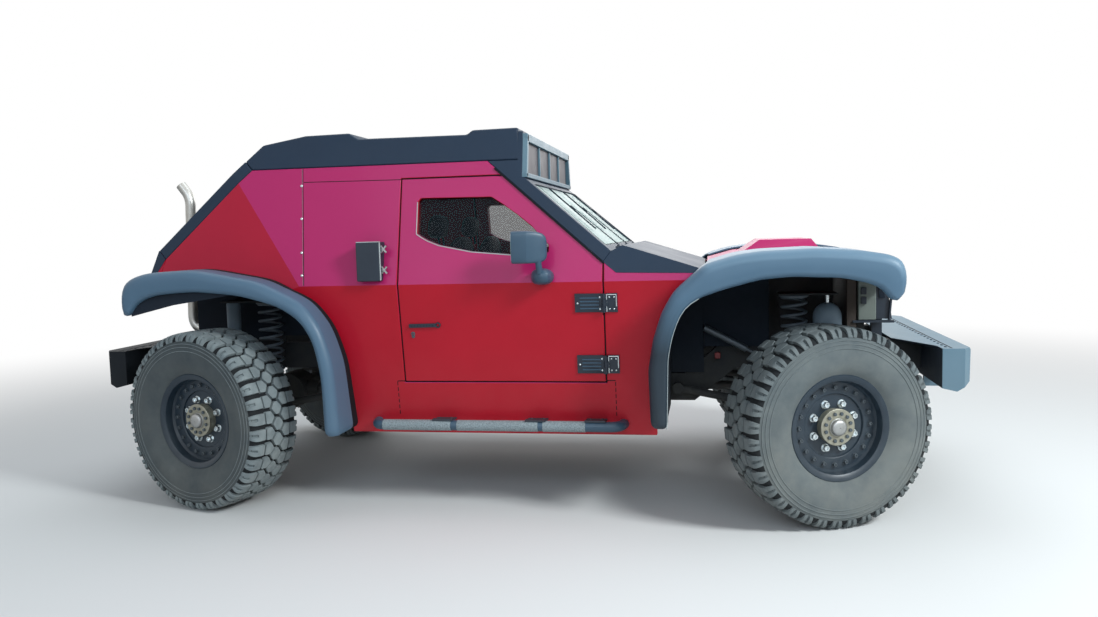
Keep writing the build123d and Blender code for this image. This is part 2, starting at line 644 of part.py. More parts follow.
# Ladder frame: channel rails kicked up over both axles, crossmembers and spring towers
rail_line = [(-rail_end_x, rail_end_z), (kick_rear[0], rail_end_z), (kick_rear[1], rail_mid_z),
             (kick_front[1], rail_mid_z), (kick_front[0], rail_end_z), (rail_end_x, rail_end_z)]
tube_r, tube_x = 35.0, (1190.0, 2250.0)
engine_y, engine_low = 250.0, hub_z + 174
gearbox_r, gearbox_z = 98.0, 640.0
gearbox_low = gearbox_z - gearbox_r
rail_top = [(x, z + rail_h / 2) for x, z in rail_line]
rail_pocket = [(x, z + rail_h / 2 - rail_web) for x, z in rail_line]
tower_x = ((spring_x[0] - 90, damper_x[0] + 50), (damper_x[1] - 50, spring_x[1] + 90))
with BuildPart() as ladder_frame:
    for side in (-1, 1):
        y_out, y_in = side * (rail_y + rail_w / 2), side * (rail_y - rail_w / 2)
        add(side_prism(thick_line(rail_top, rail_h), *sorted((y_out, y_in))))
        add(side_prism(thick_line(rail_pocket, rail_h - 2 * rail_web), *sorted((y_out - side * rail_web, y_in - side))),
            mode=Mode.SUBTRACT)
        for x_low, x_high in tower_x:
            add(side_prism([(x_low + 60, 850), (x_high - 60, 850), (x_high, spring_high), (x_low, spring_high)],
                           *sorted((y_out, side * (rail_y + rail_w / 2 + 10)))))
            add(side_prism([(x_low, spring_high), (x_high, spring_high), (x_high, spring_high + 10),
                            (x_low, spring_high + 10)], *sorted((y_out, side * (spring_y + spring_r)))))
        # Pads under the cab floor, engine mounts
        for x in (-740, 60, 780):
            with BuildSketch(Plane.XY.offset(rail_mid_z + rail_h / 2)):
                with Locations((x, side * rail_y)):
                    Circle(34)
            extrude(amount=floor_z - rail_mid_z - rail_h / 2)
        add(side_prism([(1480, 850), (1560, 850), (1560, 890), (1480, 890)],
                       *sorted((side * engine_y, side * (rail_y + rail_w / 2 - rail_web)))))
ladder_frame.part.label = "ladder_frame"
export_step(ladder_frame.part, "parts/ladder_frame.step")

# Crossmembers: five tubes between the rails' webs, and the plate below that carries the gearbox
with BuildPart() as crossmembers:
    for x, z in ((-tube_x[1], rail_end_z), (-1360, rail_end_z), (-780, rail_mid_z), (tube_x[0], 715), (tube_x[1], rail_end_z)):
        with BuildSketch(Plane.XZ.offset(-(rail_y + rail_w / 2 - rail_web))):
            with Locations((x, z)):
                Circle(tube_r)
        extrude(amount=2 * (rail_y + rail_w / 2 - rail_web))
    for side in (-1, 1):
        add(side_prism([(580, gearbox_low - 42), (660, gearbox_low - 42), (660, rail_mid_z - rail_h / 2),
                        (580, rail_mid_z - rail_h / 2)], *sorted((side * (rail_y - 30), side * (rail_y + 30)))))
    add(side_prism([(580, gearbox_low - 42), (660, gearbox_low - 42), (660, gearbox_low - 18), (580, gearbox_low - 18)],
                   -rail_y - 30, rail_y + 30))
    add(side_prism([(590, gearbox_low - 18), (650, gearbox_low - 18), (650, gearbox_low), (590, gearbox_low)], -50, 50))
crossmembers.part.label = "crossmembers"
export_step(crossmembers.part, "parts/crossmembers.step")

# Engine as one plain block; gearbox, transfer case and propeller shafts
with BuildPart() as engine_block:
    add(side_prism([(1260, engine_low + 110), (1640, engine_low), (1960, engine_low), (1960, 1330), (1260, 1330)], -engine_y, engine_y))
engine_block.part.label = "engine_block"
export_step(engine_block.part, "parts/engine_block.step")

shaft_z, shaft_r = hub_z + 10, 30.0
with BuildPart() as transmission:
    with BuildSketch(Plane.YZ.offset(1260)):
        with Locations((0, 960)):
            RegularPolygon(130, 12, major_radius=False, rotation=15)
    with BuildSketch(Plane.YZ.offset(900)):
        with Locations((0, gearbox_z)):
            RegularPolygon(gearbox_r, 12, major_radius=False, rotation=15)
    loft()
    with BuildSketch(Plane.YZ.offset(340)):
        with Locations((0, gearbox_z)):
            RegularPolygon(gearbox_r, 12, major_radius=False, rotation=15)
    extrude(amount=560)
    with BuildSketch(Plane.XY.offset(500)):
        with Locations((100, 40)):
            RectangleRounded(480, 420, 60)
    extrude(amount=236)
    with BuildSketch(Plane.YZ.offset(340)):
        with Locations((diff_y[0], shaft_z)):
            Circle(shaft_r)
    extrude(amount=kingpin_front_x - 235 - 340)
    with BuildSketch(Plane.YZ.offset(-140)):
        with Locations((diff_y[1], shaft_z)):
            Circle(shaft_r)
    extrude(amount=kingpin_rear_x + 235 + 140)
transmission.part.label = "transmission"
export_step(transmission.part, "parts/transmission.step")

# Axles: tube, differential with its pinion nose, yokes round the knuckles, spring seats
yoke_half, yoke_plate, yoke_z = 48.0, 22.0, 122.0
for name, pin_x, face, diff_place, seat_x, shock_x in (
        ("front", kingpin_front_x, 1, diff_y[0], spring_x[0], damper_x[0]),
        ("rear", kingpin_rear_x, -1, diff_y[1], spring_x[1], damper_x[1])):
    with BuildPart() as axle:
        with BuildSketch(Plane.XZ.offset(-(kingpin_y - 85))):
            with Locations((pin_x, hub_z)):
                Circle(axle_r)
        extrude(amount=2 * (kingpin_y - 85))
        with BuildSketch(Plane.XZ.offset(-(diff_place + 105))):
            with Locations((pin_x - face * 30, hub_z)):
                Circle(diff_r)
        extrude(amount=210)
        with BuildSketch(Plane.YZ.offset(pin_x - face * 235)):
            with Locations((diff_place, hub_z + 5)):
                Circle(62)
        extrude(amount=face * 160)
        for side in (-1, 1):
            with BuildSketch(Plane.XY.offset(hub_z - yoke_z - yoke_plate)):
                with Locations((pin_x, side * (kingpin_y - 28))):
                    Rectangle(2 * yoke_half, 150)
            extrude(amount=2 * (yoke_z + yoke_plate))
            with BuildSketch(Plane.XY.offset(hub_z - yoke_z)):
                with Locations((pin_x, side * (kingpin_y - 10))):
                    Rectangle(2 * yoke_half + 2, 150)
            extrude(amount=2 * yoke_z, mode=Mode.SUBTRACT)
            with BuildSketch(Plane.XY.offset(hub_z - 300)):
                with Locations((pin_x, side * kingpin_y)):
                    Circle(pin_r + pin_gap)
            extrude(amount=600, mode=Mode.SUBTRACT)
            x_pair = sorted((seat_x - face * 85, shock_x + face * 40))
            with BuildSketch(Plane.XY.offset(spring_low - 15)):
                with Locations((sum(x_pair) / 2, side * spring_y)):
                    Rectangle(x_pair[1] - x_pair[0], 150)
            extrude(amount=15)
            with BuildSketch(Plane.XY.offset(hub_z - 40)):
                with Locations((pin_x, side * spring_y)):
                    Rectangle(130, 90)
            extrude(amount=spring_low - hub_z + 30)
    axle.part.label = f"{name}_axle"
    export_step(axle.part, f"parts/{name}_axle.step")

# Springs, dampers and link arms
wire_r, spring_turns, spring_steps = 9.5, 6.0, 8
with BuildPart() as coil_springs:
    for x in spring_x:
        for side in (-1, 1):
            rise = spring_high - spring_low - 2 * wire_r
            steps = round(spring_turns * spring_steps)
            coil = []
            for k in range(steps + 1):
                turn = radians(360 * k / spring_steps)
                share = min(max((k - 0.75 * spring_steps) / (steps - 1.5 * spring_steps), 0.0), 1.0)
                coil.append((x + (spring_r - wire_r) * cos(turn), side * spring_y + (spring_r - wire_r) * sin(turn),
                             spring_low + wire_r + rise * share))
            with BuildLine() as coil_line:
                Polyline(*coil)
            with BuildSketch(Plane(origin=coil_line.line @ 0, x_dir=(0, 0, 1), z_dir=coil_line.line % 0)):
                RegularPolygon(wire_r, 6)
            sweep(path=coil_line.line, transition=Transition.RIGHT)
coil_springs.part.label = "coil_springs"
export_step(coil_springs.part, "parts/coil_springs.step")
with BuildPart() as dampers:
    for x in damper_x:
        for side in (-1, 1):
            with BuildSketch(Plane.XY.offset(spring_low)):
                with Locations((x, side * spring_y)):
                    Circle(16)
            extrude(amount=300)
            with BuildSketch(Plane.XY.offset(spring_low + 260)):
                with Locations((x, side * spring_y)):
                    Circle(38)
            extrude(amount=spring_high - spring_low - 260)
dampers.part.label = "dampers"
export_step(dampers.part, "parts/dampers.step")


link_y, link_joint_y = 545.0, 480.0
with BuildPart() as link_arms:
    for pin_x, face, rail_joint in ((kingpin_front_x, 1, kick_front[1] - 40), (kingpin_rear_x, -1, kick_rear[1] + 40)):
        for side in (-1, 1):
            add(rod_between((pin_x - face * 90, side * link_y, hub_z - 20),
                            (rail_joint, side * link_joint_y, rail_mid_z), 24))
            with BuildSketch(Plane.YZ.offset(pin_x - face * 65)):
                with Locations((side * (link_y + 5), hub_z - 16)):
                    Rectangle(60, 46)
            extrude(amount=-face * 50)
            add(rod_between((rail_joint, side * (rail_y + rail_w / 2), rail_mid_z),
                            (rail_joint, side * (link_joint_y + 30), rail_mid_z), 34))
link_arms.part.label = "link_arms"
export_step(link_arms.part, "parts/link_arms.step")

# Bumpers: faceted beam with a plate back to the frame and two towing eyes
beam = [(bumper_x - bumper_depth, bumper_top), (bumper_x - 8, bumper_top), (bumper_x, bumper_top - 14),
        (bumper_x - 6, bumper_top - bumper_h), (bumper_x - 84, bumper_top - bumper_h - 48),
        (bumper_x - bumper_depth, bumper_top - bumper_h - 30)]
for face, name in ((1, "front"), (-1, "rear")):
    with BuildPart() as bumper:
        add(side_prism([(face * x, z) for x, z in beam], -bumper_half, bumper_half))
        with BuildSketch(Plane.XY.offset(bumper_top - bumper_plate_t)):
            with BuildLine():
                inner_x = face * (bumper_x - bumper_depth - plate_reach)
                Polyline((face * (bumper_x - bumper_depth + 10), bumper_half - 100), (inner_x, 440), (inner_x, -440),
                         (face * (bumper_x - bumper_depth + 10), -bumper_half + 100), close=True)
            make_face()
        extrude(amount=bumper_plate_t)
        for side in (-1, 1):
            with BuildSketch(Plane.XY.offset(500)):
                with BuildLine():
                    Polyline((face * (bumper_x + 1), side * (bumper_half - 70)), (face * (bumper_x - 46), side * (bumper_half + 1)),
                             (face * (bumper_x + 1), side * (bumper_half + 1)), close=True)
                make_face()
            extrude(amount=600, mode=Mode.SUBTRACT)
            eye_z = bumper_top - bumper_h - 20
            with BuildSketch(Plane.XZ.offset(-(side * 330 + eye_t / 2))):
                with Locations((face * (bumper_x - 75), eye_z - 45)):
                    Rectangle(90, 110)
                    Circle(eye_r, mode=Mode.SUBTRACT)
            extrude(amount=eye_t)
    bumper.part.label = f"{name}_bumper"
    export_step(bumper.part, f"parts/{name}_bumper.step")

# Step bars with turned-in ends and three brackets a side
bar_z, bar_r, bar_reach = 508.0, 30.0, 95.0
bar_y = body_y(bar_z) + bar_reach
bar_front_x, bar_rear_x = 700.0, -780.0
with BuildPart() as step_bars:
    for side in (-1, 1):
        foot = body_y(bar_z)
        with BuildLine() as bar_line:
            Polyline((bar_rear_x - 10, side * (foot - 10), bar_z), (bar_rear_x, side * (bar_y - 35), bar_z),
                     (bar_rear_x + 35, side * bar_y, bar_z), (bar_front_x - 35, side * bar_y, bar_z),
                     (bar_front_x, side * (bar_y - 35), bar_z), (bar_front_x + 10, side * (foot - 10), bar_z))
        with BuildSketch(Plane(origin=bar_line.line @ 0, z_dir=bar_line.line % 0)):
            Circle(bar_r)
        sweep(path=bar_line.line, transition=Transition.RIGHT)
        for x in (-357, 203, 553):
            with BuildSketch(Plane.XY.offset(bar_z + bar_r - 8)):
                with Locations((x, side * (bar_y + foot - 20) / 2)):
                    Rectangle(120, bar_y - foot + 20)
            extrude(amount=8)
    add(outer_block, mode=Mode.SUBTRACT)
step_bars.part.label = "step_bars"
export_step(step_bars.part, "parts/step_bars.step")

# Exhaust stack behind the tail
stack_x, stack_y, stack_r, stack_z = -2420.0, -200.0, 35.0, 1950.0
pipe_z = bumper_top + 15 + stack_r
with BuildPart() as exhaust_stack:
    with BuildLine() as stack_line:
        Polyline((-2050, stack_y, pipe_z), (stack_x + 80, stack_y, pipe_z), (stack_x + 23, stack_y, pipe_z + 23),
                 (stack_x, stack_y, pipe_z + 80), (stack_x, stack_y, stack_z - 40), (stack_x - 14, stack_y, stack_z + 12),
                 (stack_x - 75, stack_y, stack_z + 90))
    with BuildSketch(Plane(origin=stack_line.line @ 0, z_dir=stack_line.line % 0)):
        Circle(stack_r)
        Circle(stack_r - 4, mode=Mode.SUBTRACT)
    sweep(path=stack_line.line, transition=Transition.RIGHT)
    with BuildSketch(Plane.XY.offset(rail_end_z)):
        with Locations((-tube_x[1], stack_y)):
            Rectangle(36, 60)
    extrude(amount=pipe_z - stack_r + 3 - rail_end_z)
    add(rod_between((-tube_x[1], stack_y - 100, rail_end_z), (-tube_x[1], stack_y + 100, rail_end_z), tube_r),
        mode=Mode.SUBTRACT)
exhaust_stack.part.label = "exhaust_stack"
export_step(exhaust_stack.part, "parts/exhaust_stack.step")

# Side box behind the right door, with two latches
box_x, box_w, box_low, box_high, box_out = -760.0, 146.0, 1370.0, 1600.0, 90.0
with BuildPart() as side_box:
    with BuildSketch(Plane.XZ.offset(crease_half + box_out - 45)):
        with Locations((box_x, (box_low + box_high) / 2)):
            RectangleRounded(box_w, box_high - box_low, 10)
    extrude(amount=-140)
    add(outer_block, mode=Mode.SUBTRACT)
side_box.part.label = "side_box"
export_step(side_box.part, "parts/side_box.step")

# Seats on the cab floor; dashboard with column and steering wheel
seat_y, floor_top = 400.0, floor_z + floor_t
with BuildPart() as seats:
    for side in (-1, 1):
        with BuildSketch(Plane.XY.offset(floor_top)):
            with Locations((-150, side * seat_y)):
                Rectangle(420, 420)
        extrude(amount=170)
        add(side_prism([(90, 945), (110, 1040), (60, 1070), (-330, 1030), (-470, 1560), (-500, 1760), (-590, 1740), (-560, 1540),
                        (-420, 945)], *sorted((side * (seat_y - 240), side * (seat_y + 240)))))
seats.part.label = "seats"
export_step(seats.part, "parts/seats.step")
wheel_hub = (300.0, seat_y, 1330.0)
with BuildPart() as dashboard:
    add(side_prism([(bulkhead_x, 1110), (bulkhead_x, 1360), (640, 1424), (560, 1385), (560, 1160)], -880, 880))
    column = (Vector(600, seat_y, 1230) - Vector(*wheel_hub)).normalized()
    add(rod_between((620, seat_y, 1222), wheel_hub, 28))
    rim_plane = Plane(origin=Vector(*wheel_hub), z_dir=column, x_dir=(0, 1, 0))
    with BuildSketch(rim_plane):
        Circle(205)
        Circle(178, mode=Mode.SUBTRACT)
        Rectangle(370, 36)
        with Locations((0, 0)):
            Circle(48)
    extrude(amount=22)
dashboard.part.label = "dashboard"
export_step(dashboard.part, "parts/dashboard.step")

# Wheels, tyres and knuckles at the four corners, tie rods between them
half_rim = rim_w / 2
bead = half_rim - 9
wall_h = tyre_d / 2 - rim_flange_r
tyre_half = [(bead, bead_r), (bead, rim_flange_r + 3), (tyre_w / 2, rim_flange_r + 0.4 * wall_h),
             (tyre_w / 2, tyre_d / 2 - 52), (tyre_w / 2 - 26, tyre_d / 2)]
tyre_inner = [(tyre_w / 2 - 44, tyre_d / 2 - 50), (bead - 28, bead_r)]
tyre_section = tyre_half + [(-x, r) for x, r in tyre_half[::-1]] + [(-x, r) for x, r in tyre_inner[::-1]] + tyre_inner
rim_section = [
    (-half_rim, rim_flange_r), (-half_rim + 9, rim_flange_r), (-half_rim + 9, bead_r - 1), (-62, barrel_r + rim_wall),
    (38, barrel_r + rim_wall), (62, bead_r - 5), (half_rim - 9, bead_r - 1), (half_rim - 9, rim_flange_r),
    (half_rim, rim_flange_r), (half_rim, rim_flange_r - 8), (half_rim - 5, bead_r - 8), (ring_out, bead_r - 12),
    (ring_out, ring_r), (disc_in + disc_t, ring_r - 3), (disc_in + disc_t, ring_r - 25), (disc_in, ring_r - 25),
    (disc_in, barrel_r), (-66, barrel_r), (-half_rim, bead_r - 10)]
hub_section = [
    (disc_in + disc_t, ring_r - 20), (disc_in + disc_t, hub_r), (hub_out, hub_r), (hub_out, 44), (hub_out + 26, 40),
    (hub_out + 26, 0), (spindle_out + 4, 0), (spindle_out + 4, spindle_r + 0.3), (-35, spindle_r + 0.3), (-35, drum_r),
    (disc_in, drum_r), (disc_in, ring_r - 20)]
half_pitch = 180.0 / lug_count


def pitch_ring(section, groove_at=0.0):
    """Ring about the X axis in flat pitches, one extruded and turned; section is (out, radius at its corners).

    A pitch with groove_at has a V groove across each shoulder, starting that far from the middle."""
    wide = tyre_d / 2 * tan(radians(half_pitch)) + 5
    with BuildPart() as wedge:
        with BuildSketch(Plane.YZ):
            with BuildLine():
                reach = wide / tan(radians(half_pitch))
                Polyline((0, 0), (wide, reach), (-wide, reach), close=True)
            make_face()
        extrude(amount=tyre_w, both=True)
    with BuildPart() as pitch:
        with BuildSketch(Plane.XZ.offset(-wide)):
            with BuildLine():
                Polyline(*[(x, r * cos(radians(half_pitch))) for x, r in section], close=True)
            make_face()
        extrude(amount=2 * wide)
        add(wedge.part, mode=Mode.INTERSECT)
        for side in (-1, 1) if groove_at else ():
            start = Vector(side * groove_at, 0, tyre_d / 2 * cos(radians(half_pitch)))
            with BuildSketch(Plane(origin=start, x_dir=(0, 1, 0), z_dir=Vector(side, 0, -groove_fall))):
                with BuildLine():
                    Polyline((0, 0), (groove_open * 90, side * 90), (-groove_open * 90, side * 90), close=True)
                make_face()
            extrude(amount=130, mode=Mode.SUBTRACT)
    with BuildPart() as ring:
        add([pitch.part.rotate(Axis.X, (k + 0.5) * 2 * half_pitch) for k in range(lug_count)])
    return ring.part


tyre_ring = pitch_ring(tyre_section, tyre_w / 2 - groove_len)
rim_ring = pitch_ring(rim_section)
with BuildPart() as wheel_blank:
    with BuildSketch(Plane.XZ):
        with BuildLine():
            Polyline(*hub_section, close=True)
        make_face()
    revolve(axis=Axis.X)
    add(rim_ring)
corners = (("front_right", kingpin_front_x, -1, steer_front, 1), ("front_left", kingpin_front_x, 1, steer_front, 1),
           ("rear_right", kingpin_rear_x, -1, steer_rear, -1), ("rear_left", kingpin_rear_x, 1, steer_rear, -1))
for name, pin_x, side, steer, face in corners:
    forward = Vector(cos(radians(steer)), sin(radians(steer)), 0)
    outward = Vector(-sin(radians(steer)), cos(radians(steer)), 0) * side
    pin = Vector(pin_x, side * kingpin_y, hub_z)
    centre = pin + outward * scrub
    at_wheel = Plane(origin=centre, x_dir=outward, z_dir=(0, 0, 1)).location
    for blank, kind in ((tyre_ring, "tyre"), (wheel_blank.part, "wheel")):
        with BuildPart() as piece:
            add(blank.moved(at_wheel))
        piece.part.label = f"{kind}_{name}"
        export_step(piece.part, f"parts/{kind}_{name}.step")
    with BuildPart() as knuckle:
        with BuildSketch(Plane.XY.offset(hub_z - yoke_z + 6)):
            with Locations((pin.X, pin.Y)):
                Circle(40)
        extrude(amount=2 * (yoke_z - 6))
        with BuildSketch(Plane.XY.offset(hub_z - yoke_z - yoke_plate)):
            with Locations((pin.X, pin.Y)):
                Circle(pin_r)
        extrude(amount=2 * (yoke_z + yoke_plate))
        with BuildSketch(Plane(origin=pin, x_dir=forward, z_dir=outward)):
            Circle(90)
        extrude(amount=scrub - 36)
        with BuildSketch(Plane(origin=pin, x_dir=forward, z_dir=outward)):
            Circle(spindle_r)
        extrude(amount=scrub + spindle_out)
        with BuildSketch(Plane(origin=pin - Vector(0, 0, arm_drop), x_dir=forward, z_dir=(0, 0, 1))):
            with Locations((face * arm_len / 2, 0)):
                Rectangle(arm_len, 44)
            with Locations((face * arm_len, 0)):
                Circle(26)
                Circle(8.4, mode=Mode.SUBTRACT)
        extrude(amount=9, both=True)
    knuckle.part.label = f"knuckle_{name}"
    export_step(knuckle.part, f"parts/knuckle_{name}.step")

rod_gap = 1.0
for name, pin_x, steer, face in (("front", kingpin_front_x, steer_front, 1), ("rear", kingpin_rear_x, steer_rear, -1)):
    reach = Vector(cos(radians(steer)), sin(radians(steer)), 0) * (face * arm_len)
    with BuildPart() as tie_rod:
        rod_z = hub_z - arm_drop - 9 - rod_gap - tie_rod_r
        for side in (-1, 1):
            joint = Vector(pin_x, side * kingpin_y, 0) + reach
            with BuildSketch(Plane.XY.offset(rod_z - tie_rod_r)):
                with Locations((joint.X, joint.Y)):
                    Circle(24)
            extrude(amount=2 * tie_rod_r)
            with BuildSketch(Plane.XY.offset(rod_z)):
                with Locations((joint.X, joint.Y)):
                    Circle(8)
            extrude(amount=hub_z - arm_drop + 9 - rod_z)
        add(rod_between((pin_x + reach.X, -kingpin_y + reach.Y, rod_z), (pin_x + reach.X, kingpin_y + reach.Y, rod_z), tie_rod_r - 2))
    tie_rod.part.label = f"tie_rod_{name}"
    export_step(tie_rod.part, f"parts/tie_rod_{name}.step")
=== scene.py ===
# %% [markdown]
# # Dressing a lifted off-road car
#
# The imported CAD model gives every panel, axle and wheel its true place.  This lesson keeps
# those places and adds what the eye looks for: lugged tyres, bolted rims, rounded arches,
# satin and glossy paint, dust, seams and screws.  Lengths are metres, +X is the car's front,
# +Y its left side and +Z up, exactly as in the CAD model.

import json
from math import cos, pi, radians, sin, tan

import bmesh
import bpy
import numpy as np
from mathutils import Matrix, Vector


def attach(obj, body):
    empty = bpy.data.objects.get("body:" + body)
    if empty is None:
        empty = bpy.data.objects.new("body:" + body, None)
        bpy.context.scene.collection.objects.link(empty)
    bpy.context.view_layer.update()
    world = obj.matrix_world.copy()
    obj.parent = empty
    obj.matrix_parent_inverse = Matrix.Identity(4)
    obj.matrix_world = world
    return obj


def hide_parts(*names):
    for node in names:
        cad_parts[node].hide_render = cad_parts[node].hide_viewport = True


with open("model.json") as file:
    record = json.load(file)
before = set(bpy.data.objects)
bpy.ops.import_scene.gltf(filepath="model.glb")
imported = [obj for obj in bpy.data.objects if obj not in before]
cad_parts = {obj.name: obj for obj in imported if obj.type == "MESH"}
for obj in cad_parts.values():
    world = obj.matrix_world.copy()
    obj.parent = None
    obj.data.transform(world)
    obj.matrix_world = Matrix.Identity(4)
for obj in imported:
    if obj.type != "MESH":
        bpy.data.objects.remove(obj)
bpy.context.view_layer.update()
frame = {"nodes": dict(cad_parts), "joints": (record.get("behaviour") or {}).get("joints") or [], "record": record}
nodes = frame["nodes"]
joints = {joint["name"]: joint for joint in frame["joints"]}
body_of = {node: body for body, members in frame["record"]["behaviour"]["bodies"].items()
           for node in members}

# %% [markdown]
# ## Camera
#
# The camera stands to the car's right at eye height, six metres from its middle line.  Its three
# axes were solved from the straight edges and the wheels in the photograph, so they are written
# here as measured directions: right, up and forward.  Blender's camera looks along its own -Z,
# which is why the forward direction goes into the matrix with its sign turned.

# %% Camera
camera_place = Vector((1.2088, -6.0629, 1.6252))
camera_right = Vector((0.9844, 0.17396, -0.02643))
camera_up = Vector((0.01147, 0.08648, 0.99619))
camera_forward = Vector((-0.17558, 0.98095, -0.08314))
focal_px, photo_w = 902.0, 1098.0
camera_data = bpy.data.cameras.new("camera")
camera_data.sensor_width = 36.0
camera_data.lens = 36.0 * focal_px / photo_w
camera = bpy.data.objects.new("camera", camera_data)
bpy.context.scene.collection.objects.link(camera)
turn = Matrix((camera_right, camera_up, -camera_forward)).transposed().to_4x4()
camera.matrix_world = Matrix.Translation(camera_place) @ turn
bpy.context.scene.camera = camera
print(f"camera lens {camera_data.lens:.2f} mm")

# %% [markdown]
# ## Shader nodes in short
#
# Light, floor and paint are all small networks of nodes.  Three helpers write them: `set_inputs`
# gives a node's inputs plain values or links, `add_node` makes a node and does the same, and
# `math_node` is the one used most.  A socket given as a value is linked, anything else is set.

# %% Node helpers
def set_inputs(tree, node, values):
    """Gives a node's inputs their values: a number, a colour, or another node's output to link."""
    for label, value in dict(values).items():
        socket = node.inputs[label]
        if isinstance(value, bpy.types.NodeSocket):
            tree.links.new(value, socket)
        else:
            socket.default_value = (*value[:3], 1) if socket.type == "RGBA" else value


def add_node(tree, kind, values=(), **settings):
    """New shader node with its settings and inputs; returns its outputs."""
    node = tree.nodes.new("ShaderNode" + kind)
    for label, value in settings.items():
        setattr(node, label, value)
    set_inputs(tree, node, values)
    return node.outputs


def math_node(tree, operation, *values, clamp=False):
    """Math node whose inputs are sockets or plain numbers; returns its output socket."""
    return add_node(tree, "Math", enumerate(values), operation=operation, use_clamp=clamp)[0]


def noise_node(tree, vector, scale, detail=3.0, rough=0.55):
    """Noise between 0 and 1 at a place given by vector."""
    values = {"Vector": vector, "Scale": scale, "Detail": detail, "Roughness": rough}
    return add_node(tree, "TexNoise", values)["Fac"]


def mix_colour(tree, factor, first, second):
    """Colour that goes from first to second as factor goes from 0 to 1."""
    return add_node(tree, "Mix", {0: factor, 6: first, 7: second}, data_type="RGBA")[2]


def object_place(tree, kind="Object"):
    """Place on the object, or with kind "Normal" the direction that a face looks in."""
    return add_node(tree, "TexCoord")[kind]


def axes_of(tree, vector):
    """X, Y and Z of a vector socket."""
    return add_node(tree, "SeparateXYZ", {0: vector})


def new_material(name, values):
    """Material with these inputs on its shader; returns it with its tree and shader."""
    material = bpy.data.materials.new(name)
    material.use_nodes = True
    shader = material.node_tree.nodes["Principled BSDF"]
    set_inputs(material.node_tree, shader, values)
    return material, material.node_tree, shader


print("node helpers ready")

# %% [markdown]
# ## Light and background
#
# A studio for a car is a big white room: wide soft lamps overhead, a key lamp from the front
# right, and a floor that runs out of sight.  The world gives plain even light to the object,
# while Light Path paints it white for the eye and in mirrors, so paint and rubber keep the
# colours they are given.

# %% Light
scene = bpy.context.scene
scene.view_settings.view_transform = "Standard"


def lamp(name, place, target, width, height, watts, colour=(1, 1, 1)):
    """Rectangular area lamp at place, facing target."""
    data = bpy.data.lights.new(name, "AREA")
    data.shape = "RECTANGLE"
    data.size, data.size_y, data.energy, data.color = width, height, watts, colour
    obj = bpy.data.objects.new(name, data)
    scene.collection.objects.link(obj)
    obj.location = place
    obj.rotation_euler = (Vector(target) - Vector(place)).to_track_quat("-Z", "Y").to_euler()


lamp("key_lamp", (7.4, -4.4, 6.2), (0, 0, 0.8), 2.0, 2.0, 760, (0.92, 0.98, 1.0))
lamp("sky_lamp", (-0.5, 1.5, 7.5), (0, 0, 0), 7.0, 5.0, 220, (0.84, 0.93, 1.0))
lamp("window_lamp", (0.5, -12.0, 6.5), (0, 0, 1.2), 12.0, 5.0, 420, (0.72, 0.86, 1.0))
lamp("far_lamp", (0.5, 7.0, 4.0), (0, 0, 1.0), 6.0, 3.0, 120)

scene.world = bpy.data.worlds.new("studio")
scene.world.use_nodes = True
tree = scene.world.node_tree
tree.nodes.clear()
rays = add_node(tree, "LightPath")
seen = math_node(tree, "MAXIMUM", rays["Is Camera Ray"], rays["Is Transmission Ray"])
seen = math_node(tree, "MAXIMUM", seen, rays["Is Glossy Ray"])
even_light = add_node(tree, "Background", {"Color": (0.92, 0.96, 1.0), "Strength": 0.36})[0]
white = add_node(tree, "Background", {"Color": (1, 1, 1)})[0]
add_node(tree, "OutputWorld", {0: add_node(tree, "MixShader", {0: seen, 1: even_light, 2: white})[0]})
print(len(bpy.data.lights), "lamps and a white world")

# %% [markdown]
# ## Making meshes from arrays
#
# Every new piece is a surface worked out with numpy.  `grid_faces` joins a grid of points into
# quads; `mesh_of` stacks several such parts into one mesh, so that a ring of twenty bolts is
# one object.  `add_piece` gives the object its material and its body.

# %% Mesh helpers
def grid_faces(rows, columns, close_rows=False, close_columns=False):
    """Quads of a rows by columns grid of points numbered row by row; a closed way wraps round."""
    i = np.arange(rows if close_rows else rows - 1)[:, None]
    j = np.arange(columns if close_columns else columns - 1)[None, :]
    i_next, j_next = (i + 1) % rows, (j + 1) % columns
    corners = (i * columns + j, i_next * columns + j, i_next * columns + j_next, i * columns + j_next)
    return np.stack([c + 0 * i + 0 * j for c in corners], -1).reshape(-1, 4)


def capped_faces(rows, columns):
    """Faces of a closed section carried through rows, with one many-sided face at each end."""
    end = list(range((rows - 1) * columns, rows * columns))
    return grid_faces(rows, columns, False, True).tolist() + [list(range(columns))[::-1], end]


def end_fans(rows, columns):
    """Triangles that close both ends of a tube on two extra points numbered after all the others."""
    first = np.arange(columns)
    last = first + (rows - 1) * columns
    low = np.stack([first, np.roll(first, -1), 0 * first + rows * columns], 1)
    return np.concatenate([low, np.stack([np.roll(last, -1), last, 0 * last + rows * columns + 1], 1)])


def prism_faces(count):
    """Walls and two ends of a prism whose outline of count points stands in the list twice."""
    k = np.arange(count)
    walls = np.stack([k, (k + 1) % count, (k + 1) % count + count, k + count], 1).tolist()
    return walls + [k[::-1].tolist(), (k + count).tolist()]


def normals_of(line):
    """Directions square to a flat line at each of its points: its run turned by a quarter."""
    ahead = np.gradient(line, axis=0)
    ahead /= np.linalg.norm(ahead, axis=1)[:, None]
    return np.stack([-ahead[:, 1], ahead[:, 0]], 1)


